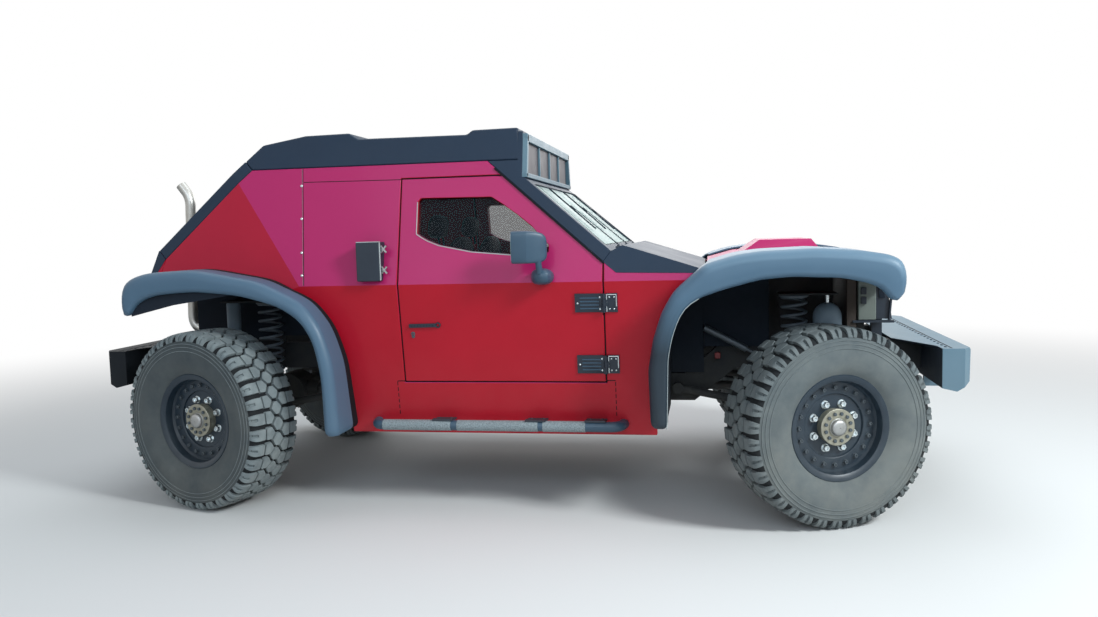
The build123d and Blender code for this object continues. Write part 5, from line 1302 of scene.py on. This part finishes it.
# %% Window trim
window_line = [(-0.4945, 1.83), (-0.4945, 1.64), (-0.457, 1.6155), (-0.424, 1.5975), (-0.354, 1.5695),
               (-0.158, 1.5285), (0.081, 1.5055), (0.25, 1.4935)]
for label, side in sides.items():
    channel = [side_bar(a, b, 0.0055, 0.003, side, 0.001) for a, b in zip(window_line, window_line[1:])]
    add_piece(f"window_channel_{label}", channel, rim_steel, "dark_trim", (), f"door_{label}",
              bevel=0.0008, segments=1)
print("window channels on both doors")

# %% [markdown]
# ## Bent tubes
#
# Step bars and the exhaust are bent from straight tube, so their centre line is straight runs
# joined by arcs.  `bent_line` cuts each corner off at the same distance from it and fills the
# gap with a quadratic curve, start + corner + end weighed by (1-t)^2, 2t(1-t) and t^2.

# %% Bent tubes
def bent_line(corners_at, reach, steps=7):
    """Centre line through corner points, each rounded over reach metres to both sides."""
    corners_at = np.asarray(corners_at, float)
    t = np.linspace(0, 1, steps)[:, None]
    pieces = [corners_at[:1]]
    for before, corner_at, after in zip(corners_at, corners_at[1:], corners_at[2:]):
        back, on = before - corner_at, after - corner_at
        start = corner_at + back * min(reach / np.linalg.norm(back), 0.49)
        end = corner_at + on * min(reach / np.linalg.norm(on), 0.49)
        pieces.append((1 - t) ** 2 * start + 2 * t * (1 - t) * corner_at + t ** 2 * end)
    pieces.append(corners_at[-1:])
    return np.concatenate(pieces)


def open_pipe(path, radius, wall, sides=28):
    """Pipe with a bore: the outer rings along the path, then the last few again, smaller and in reverse."""
    rings = tube_solid(path, radius, sides)[0][:len(path) * sides].reshape(len(path), sides, 3)
    inner = path[-4:, None] + (rings[-4:] - path[-4:, None]) * (radius - wall) / radius
    all_rings = np.concatenate([rings, inner[::-1]])
    return all_rings, capped_faces(len(all_rings), sides)


x_axis, z_axis = np.eye(3)[[0, 2]]
bar_z, bar_y, bar_r, bar_end_y = 0.508, 0.9847, 0.03, 0.882
bar_line = [(-0.79, bar_end_y), (-0.78, 0.95), (-0.745, bar_y), (0.665, bar_y), (0.7, 0.95), (0.71, bar_end_y)]
bar_shapes, sleeves, brackets = [], [], []
for side in both:
    bar_shapes.append(tube_solid(bent_line([(x, side * y, bar_z) for x, y in bar_line], 0.035), bar_r, 24))
    for span in ((-0.724, -0.305), (-0.267, 0.218), (0.247, 0.496)):
        run = [(x, side * bar_y, bar_z) for x in np.linspace(*span, 8)]
        sleeves.append(tube_solid(run, bar_r + 0.0022, 24))
    for x in (-0.357, 0.203, 0.553):
        brackets += [box_solid((x, side * 0.94, bar_z + bar_r - 0.004), (0.12, 0.11, 0.008)),
                     box_solid((x, side * 0.985, bar_z + bar_r + 0.004), (0.12, 0.04, 0.01))]
        brackets += [hex_head((x + dx, side * 0.925, bar_z + bar_r), z_axis, 0.009, 0.006)
                     for dx in (-0.035, 0.035)]
grip_plate = finish("grip_plate", (0.3, 0.37, 0.4), (0.13, 0.165, 0.18), 0.55, dust=0.25, dust_top=0.9,
                    drift=130, drift_share=1.0, grain=420, bump=1.0, bump_depth=0.0015)
add_piece("step_bar_tubes", bar_shapes, housing_satin, "bumper_paint", ["step_bars"], smooth=50)
add_piece("step_bar_grips", sleeves, grip_plate, "bumper_paint", smooth=50)
add_piece("step_bar_brackets", brackets, trim_black, "dark_trim", smooth=50)
pipe_y = -0.2
stack_line = [(-2.05, 1.0), (-2.345, 1.0), (-2.418, 1.055), (-2.386, 1.945), (-2.452, 2.03)]
stack = bent_line([(x, pipe_y, z) for x, z in stack_line], 0.06, 10)
pipe = [open_pipe(stack, 0.035, 0.0035)]
shell_piece("exhaust_pipe", pipe, pipe_steel, "exhaust_steel", ["exhaust_stack"], smooth=50)
clamp = [(-0.016, 0.0345), (-0.016, 0.0385), (0.016, 0.0385), (0.016, 0.0345)]
stay = [box_solid((-2.25, pipe_y, 0.928), (0.036, 0.06, 0.08))]
stay += [ring_solid(clamp, (x, pipe_y, 1.0), x_axis, 28) for x in (-2.25, -2.12)]
add_piece("exhaust_stay", stay, under_black, "frame_paint", smooth=50)
print("step bars", len(sleeves), "grips; exhaust line of", len(stack), "points")

# %% [markdown]
# ## Springs and dampers
#
# A coil spring is a round wire on a helix: angle and height grow together, except for the last
# part-turn at each end, which lies flat on its seat.  The damper behind it is a body, a bright
# rod and a dust cover: a round cup turned over in front, a plain sleeve at the rear.

# %% Springs and dampers
def coil(x, y, low, high, radius, wire, turns, steps=26):
    """Wire helix: angle even, height from low to high by a line that is flat over the end turns."""
    share = np.linspace(0, 1, int(turns * steps) + 1)
    angle = 2 * pi * turns * share
    lift = np.interp(share, (0, 0.5 / turns, 1 - 0.5 / turns, 1), (0, 0.012, 0.988, 1))
    path = np.stack([x + (radius - wire) * np.cos(angle), y + (radius - wire) * np.sin(angle),
                     low + wire + (high - low - 2 * wire) * lift], 1)
    return tube_solid(path, wire, 8)


spring_y, spring_turns = 0.56, 11
spring_spots = [(x, side * spring_y) for x in (1.7, -1.64) for side in both]
damper_spots = [(x, side * spring_y) for x in (1.89, -1.9) for side in both]
seat_plate = [(0, 0.0001), (0, 0.086), (0.008, 0.088), (0.012, 0.084), (0.012, 0.0001)]
coils = [coil(x, y, 0.625, 1.225, 0.079, 0.009, spring_turns) for x, y in spring_spots]
coils += [disc_solid(seat_plate, (x, y, 1.213), z_axis, 36) for x, y in spring_spots]
add_piece("spring_coils", coils, spring_grey, "spring_paint", ["coil_springs"], smooth=60)
damper_body = [(0, 0.0001), (0, 0.024), (0.02, 0.038), (0.34, 0.038), (0.345, 0.036), (0.345, 0.0001)]
damper_rod = [(0, 0.0001), (0, 0.014), (0.26, 0.014), (0.26, 0.0001)]
cup = [(0.0, 0.0001), (0.0, 0.078), (0.006, 0.083), (0.055, 0.083)]
cup += [(0.055 + 0.088 * sin(a), 0.083 * cos(a) + 0.0001) for a in np.linspace(0, pi / 2, 9)[1:]]
sleeve = [(0, 0.0001), (0, 0.04), (0.006, 0.044), (0.19, 0.044), (0.196, 0.038), (0.196, 0.0001)]
bodies = [disc_solid(damper_body, (x, y, 0.625), z_axis, 32) for x, y in damper_spots]
rods = [disc_solid(damper_rod, (x, y, 0.965), z_axis, 24) for x, y in damper_spots]
domes = [disc_solid(cup, (x, y, 1.035), z_axis, 40) if x > 0 else disc_solid(sleeve, (x, y, 1.025), z_axis, 32)
         for x, y in damper_spots]
add_piece("damper_bodies", bodies, spring_grey, "damper_steel", ["dampers"], smooth=50)
add_piece("damper_rods", rods, nut_steel, "damper_steel", smooth=50)
add_piece("damper_covers", domes, dome_grey, "damper_steel", smooth=45)
print(len(coils) // 2, "springs with", spring_turns, "turns,", len(domes), "dampers")

# %% [markdown]
# ## Wheel arches from inside
#
# Black liners close the arches off: one sheet follows the lip of the fender from its rear foot
# up to the crown, one flat panel stands beside the frame rail, and an upright apron closes the
# fender off beside the bonnet.  Pulling the lip's own line inwards as a strip makes the first;
# a hair's breadth inside the lip it can never cut the moulding.  In front of the spring stand a
# brown fender post and a grey-green relay box.

# %% Arch liners
def strip_solid(corners, side):
    """Closed strip whose section has one corner for each (x line, y, z line)."""
    points = np.stack([np.stack([x, np.full(len(x), side * y), z], 1) for x, y, z in corners], 1)
    return points, capped_faces(*points.shape[:2])


def liner(line, y_out, y_in, side, thick=0.004, stand=0.012):
    """Sheet of even thickness: the line (x, z) at y_out and y_in, and the same moved by its normal."""
    line = smooth_line(line, spacing=0.03, spread=0.045)
    normal = normals_of(line)
    shifted = [(y, line + normal * shift) for y, shift in
               ((y_out, stand), (y_in, stand), (y_in, stand + thick), (y_out, stand + thick))]
    return strip_solid([(moved[:, 0], y, moved[:, 1]) for y, moved in shifted], side)


panel_y, panel_spans = 0.458, ((0.9, 1.168, 0.745, 1.33), (1.172, 1.56, 0.905, 1.375))
liner_parts, panel_parts, posts, relays, links, valves, edge_parts = [], [], [], [], [], [], []
for side in both:
    liner_parts.append(liner(front_inner[:10], 1.165, 0.462, side))
    for low_x, high_x, low_z, high_z in panel_spans:
        panel_parts.append(box_solid(((low_x + high_x) / 2, side * panel_y, (low_z + high_z) / 2),
                                     (high_x - low_x, 0.006, high_z - low_z)))
    panel_parts += [box_solid((-1.985, side * panel_y, 1.18), (0.47, 0.006, 0.42)),
                    box_solid((-1.425, side * panel_y, 1.14), (0.65, 0.006, 0.3))]
    panel_parts += [screw((x, side * 0.461, 1.3), (0, side, 0), 0.009, 0.005)
                    for x in (0.93, 1.04, 1.15, 1.2, 1.33, 1.47)]
    posts += [box_solid((2.02, side * 0.588, 1.155), (0.052, 0.044, 0.44)),
              box_solid((2.02, side * 0.51, 0.935), (0.052, 0.2, 0.012))]
    relays.append(box_solid((2.105, side * 0.6, 1.19), (0.1, 0.04, 0.23)))
    edge_parts += [box_solid((2.085, side * 0.626, z), (0.03, 0.012, 0.04)) for z in (1.245, 1.19)]
    edge_parts += [box_solid((2.14, side * 0.605, 1.066), (0.23, 0.03, 0.014)),
                   box_solid((2.236, side * 0.6, 1.15), (0.01, 0.03, 0.18), (0.996, 0, -0.087))]
    damper_line = [(1.175, side * 0.492, 1.024), (1.3, side * 0.496, 0.959), (1.425, side * 0.5, 0.893)]
    damper_tip = [(1.4, side * 0.499, 0.906), (1.48, side * 0.502, 0.864)]
    links += [tube_solid(damper_line, 0.021, 16), tube_solid(damper_tip, 0.01, 12)]
    valves.append(box_solid((1.252, side * 0.48, 0.852), (0.034, 0.03, 0.038)))
apron = [(1.3, 1.36), (1.3, 1.452), (1.37, 1.466), (1.8, 1.492), (1.98, 1.48), (2.13, 1.453),
         (2.182, 1.422), (2.202, 1.372), (2.205, 1.2), (2.175, 1.2), (2.165, 1.33)]
liner_parts += [([(x, side * y, z) for y in (0.602, 0.606) for x, z in apron], prism_faces(len(apron)))
                for side in both]
rear_lip = smooth_line(rear_inner, spread=0.052)
rear_lip = rear_lip[rear_lip[:, 0] < -1.56]
lip_x = rear_lip[:, 0]
lip_low = np.interp(lip_x, (-2.228, -1.95, -1.56), (1.19, 1.255, 1.312))
lip_high = np.maximum(rear_lip[:, 1] + 0.02, lip_low + 0.002)
liner_parts += [strip_solid([(lip_x, 1.168, lip_low), (lip_x, 1.168, lip_high), (lip_x, 1.162, lip_high),
                             (lip_x, 1.162, lip_low)], side) for side in both]
lip = smooth_line(front_inner, spread=0.024)
lip = lip[(lip[:, 1] < 1.26) & (lip[:, 0] < 1.25)][::4]
beads = [tube_solid([(x - 0.004, side * 1.192, z) for x, z in lip], 0.0028, 8) for side in both]
add_piece("fender_lip_beads", beads, rim_steel, "dark_trim", smooth=60)
shell_piece("arch_liners", liner_parts, liner_black, "dark_trim", smooth=30)
add_piece("arch_panels", panel_parts, liner_black, "dark_trim")
add_piece("fender_posts", posts, post_brown, "frame_paint", bevel=0.002)
add_piece("relay_boxes", relays, box_sage, "dark_trim", bevel=0.006)
add_piece("relay_fittings", edge_parts, trim_black, "dark_trim", bevel=0.0015)
add_piece("steering_dampers", links, bolt_grey, "damper_steel", smooth=50)
add_piece("air_valves", valves, valve_red, "red_lens", bevel=0.004)
print("arch liners and fittings on both sides")

# %% [markdown]
# ## Tail edges, lamps and radiator
#
# The dark roof strip runs down over the tail's corners.  The headlamps are set in the fenders'
# noses behind domed lenses; the tail lamps are upright lenses in black frames.  Behind the
# grille stands the radiator core, whose fins are a fine stripe in its colour.

# %% Tail edges and lamps
tail_points = np.array([v.co for v in nodes["tail_panel"].data.vertices])
slope_at, tail_at = np.array((-2.227, 1.579)), np.array((-2.333, 1.3))
tail_run = slope_at - tail_at


def tail_edge(x, z):
    """Half width of the tail panel's end next to the side-view point (x, z)."""
    far = np.abs(tail_points[:, 1]).max()
    near = np.hypot(tail_points[:, 0] - x, tail_points[:, 2] - z) < 0.012
    return float(np.abs(tail_points[near, 1]).max()) if near.any() else float(far)


corner_at = tail_points[np.abs(tail_points[:, 1]) > 0.5]
top_inner = corner_at[np.argmax(corner_at[:, 0] + 0.4 * corner_at[:, 2])]
wedge_line = [tuple(slope_at), (top_inner[0], top_inner[2]), tuple(tail_at)]
wedge_y = [tail_edge(x, z) for x, z in wedge_line]
wedge_faces = [(0, 1, 2), (5, 4, 3), (0, 3, 4, 1), (1, 4, 5, 2), (2, 5, 3, 0)]
tail_strips = []
for side in both:
    outer_three = np.array([(x, side * (y + 0.003), z) for (x, z), y in zip(wedge_line, wedge_y)])
    tail_strips.append((np.concatenate([outer_three, outer_three - (0, side * 0.006, 0)]), wedge_faces))
lamp_spots = [(2.206, side * 0.9, 1.322) for side in both]
dome = [(0.0, 0.0001), (0.0, 0.07)]
dome += [(0.01 + 0.018 * sin(a), 0.07 * cos(a) + 0.0001) for a in np.linspace(0, pi / 2, 8)]
bezel = [(0.0, 0.0695), (0.0, 0.08), (0.012, 0.08), (0.017, 0.0765), (0.017, 0.0715), (0.014, 0.0695)]
lens_parts = [disc_solid(dome, spot, x_axis, 48) for spot in lamp_spots]
ring_parts = [ring_solid(bezel, spot, x_axis, 48) for spot in lamp_spots]
add_piece("headlamp_lenses", lens_parts, head_lens, "lamp_lens", ["headlamps"], smooth=50)
add_piece("headlamp_rings", ring_parts, trim_black, "dark_trim", smooth=50)
core_fins, tree, core_shader = new_material("radiator_fins", {"Roughness": 0.6, "Metallic": 0.4})
fin_place = axes_of(tree, object_place(tree))
fin_wave = math_node(tree, "SINE", math_node(tree, "MULTIPLY", fin_place["Z"], 900.0))
row_wave = math_node(tree, "SINE", math_node(tree, "MULTIPLY", fin_place["Y"], 260.0))
both_waves = math_node(tree, "MULTIPLY", fin_wave, row_wave)
fin_mask = math_node(tree, "MULTIPLY_ADD", both_waves, 0.5, 0.5, clamp=True)
set_inputs(tree, core_shader, {
    "Base Color": mix_colour(tree, fin_mask, (0.008, 0.009, 0.01), (0.045, 0.048, 0.05))})
core = [box_solid((2.08, 0, 1.14), (0.045, 1.08, 0.4))]
add_piece("radiator_core", core, core_fins, "engine_iron", bevel=0.004)
shell_piece("tail_edge_strips", tail_strips, roof_satin, "roof_paint")
along_tail = np.array((tail_run[0], 0, tail_run[1])) / np.linalg.norm(tail_run)
out_of_tail = np.array((-along_tail[2], 0, along_tail[0]))
lamp_z, lamp_y, tail_tall = 1.42, 0.7, 0.279
lamp_spot = np.array((tail_at[0] + tail_run[0] * (lamp_z - 1.3) / tail_tall, 0, lamp_z))


def tail_box(side, up, stand, size):
    """Block on the tail panel beside its lamp's middle, up metres higher and stand metres out."""
    return box_solid(lamp_spot + (0, side * lamp_y, up) + out_of_tail * stand, size, out_of_tail)


tail_housings = [tail_box(side, 0, 0.008, (0.02, 0.098, 0.178)) for side in both]
tail_lenses = [tail_box(side, up, 0.0185, (0.012, 0.082, tall)) for side in both
               for up, tall in ((0.04, 0.076), (-0.042, 0.072))]
add_piece("tail_lamp_frames", tail_housings, trim_black, "dark_trim", bevel=0.003)
add_piece("tail_lamp_lenses", tail_lenses, red_lens, "red_lens", ["tail_lamps"], bevel=0.003)
print("lenses, rings, radiator and tail strips; wedge half widths", [round(y, 3) for y in wedge_y])

# %% [markdown]
# ## Bumper seams
#
# Each bumper is a beam with a top plate bolted to it.  The joint is a dark line along the beam
# with a row of flat bolt heads just behind it.

# %% Bumper seams
seam_parts, bumper_bolts = [], []
for face in (1, -1):
    seam_parts.append(box_solid((face * 2.492, 0, 0.9503), (0.006, 1.86, 0.0022)))
    bumper_bolts += [hex_head((face * 2.47, y, 0.95), z_axis, 0.007, 0.004) for y in np.linspace(-0.88, 0.88, 23)]
add_piece("bumper_seams", seam_parts, gap_black, "bumper_paint")
add_piece("bumper_bolts", bumper_bolts, trim_black, "bumper_paint")
print(len(bumper_bolts), "bumper bolts")

# %% [markdown]
# ## Seats
#
# Two bucket seats stand on the cab floor.  Each pad is a soft thing: a crowned cushion whose
# sides pull in between its corners, with raised side bolsters and sewn channels across the
# middle.  A cushion is written as a closed surface over two angles: width, depth and thickness
# are superellipses, and the crown, the bolsters and the channels are added to its upper half.

# %% Seats
def pad(centre, half, lean, bolster, channels, power=3.2, rows=40, columns=72):
    """Cushion: a superellipsoid of half sizes (x, y, z), with bolsters and channels, leaned about Y."""
    u = np.linspace(-pi / 2, pi / 2, rows)[1:-1, None]
    v = (np.arange(columns) * 2 * pi / columns)[None, :]
    upright_power, bolster_at, crown_rise = 2.6, 0.62, 0.1
    ring = squared_up(np.cos(u), upright_power)
    x, y = ring * squared_up(np.cos(v), power), ring * squared_up(np.sin(v), power)
    z = np.broadcast_to(squared_up(np.sin(u), upright_power), x.shape).copy()
    up = np.clip(z, 0, 1)
    side_pull = 1 - 0.035 * (1 - np.abs(x) ** 4) * (1 - np.abs(z))
    crown = crown_rise * (1 - x ** 2) * (1 - y ** 2)
    wall = bolster * np.clip((np.abs(y) - bolster_at) / 0.3, 0, 1) * np.clip((1.02 - np.abs(y)) / 0.15, 0, 1)
    sewn = 0.0 * x
    for at in channels:
        sewn += 0.16 * np.exp(-((x - at) / 0.045) ** 2) * np.clip((0.66 - np.abs(y)) / 0.08, 0, 1)
    sewn += 0.14 * np.exp(-((np.abs(y) - bolster_at) / 0.035) ** 2)
    z = z + up * (crown + wall - sewn)
    points = np.stack([x * half[0], y * side_pull * half[1], z * half[2]], -1)
    poles = np.array([(0, 0, -half[2]), (0, 0, (1 + crown_rise) * half[2])])
    turn = np.array([(cos(lean), 0, sin(lean)), (0, 1, 0), (-sin(lean), 0, cos(lean))])
    flat = np.concatenate([points.reshape(-1, 3), poles]) @ turn + np.array(centre)
    faces = grid_faces(rows - 2, columns, False, True).tolist() + end_fans(rows - 2, columns).tolist()
    return flat, faces


hide_slot = slot_of["seats"]
for label, y in (("right", -0.4), ("left", 0.4)):
    cushions = {
        "seat": pad((-0.175, y, 0.99), (0.265, 0.232, 0.066), radians(6), 0.55, (-0.45, 0.0, 0.45)),
        "back": pad((-0.425, y, 1.34), (0.285, 0.228, 0.062), radians(-105), 0.6, (-0.5, -0.15, 0.2, 0.55)),
        "head": pad((-0.52, y, 1.685), (0.075, 0.125, 0.05), radians(-100), 0.0, ())}
    for part_name, cushion in cushions.items():
        stands_for = ["seats"] if part_name == "seat" else ()
        piece = shell_piece(f"{part_name}_pad_{label}", [cushion], seat_hide, hide_slot, stands_for, smooth=60)
    stand = [box_solid((-0.15, y, 0.855), (0.42, 0.4, 0.155)), box_solid((-0.19, y, 0.94), (0.5, 0.44, 0.022))]
    stand += [tube_solid([(-0.5, y + dy, 1.56), (-0.512, y + dy, 1.66)], 0.007, 10) for dy in (-0.05, 0.05)]
    add_piece(f"seat_stand_{label}", stand, trim_black, hide_slot, bevel=0.006)
print("two seats of three pads")

# %% [markdown]
# ## Dashboard and steering wheel
#
# The dashboard is a moulded shelf across the cab with a raised hood over the dials.  The wheel
# is a leather ring.

# %% Dashboard
softened("dashboard", 0.01, 3, 30)
wheel_hub, column_low = np.array((0.3, 0.4, 1.33)), np.array((0.6, 0.4, 1.23))
column_way = (column_low - wheel_hub) / np.linalg.norm(column_low - wheel_hub)
rim_r, grip_r = 0.1915, 0.0145
rim_section = [(0.011 + grip_r * cos(a), rim_r + grip_r * sin(a)) for a in np.linspace(0, 2 * pi, 13)[:-1]]
steering_rim = ring_solid(rim_section, wheel_hub, column_way, 72)
add_piece("steering_rim", [steering_rim], seat_hide, "seat_leather", smooth=60)
hood, hood_faces = rounded_loft([(0.56, -0.16, 0.16, 1.365, 1.4), (0.575, -0.185, 0.185, 1.355, 1.438),
                                 (0.7, -0.19, 0.19, 1.35, 1.452), (0.78, -0.18, 0.18, 1.35, 1.425),
                                 (0.8, -0.15, 0.15, 1.355, 1.395)], 4.0, 48)
shell_piece("dial_hood", [(hood + (0, wheel_hub[1], 0), hood_faces)], dash_moulding, "dash_plastic")
print("dashboard, wheel and hood")
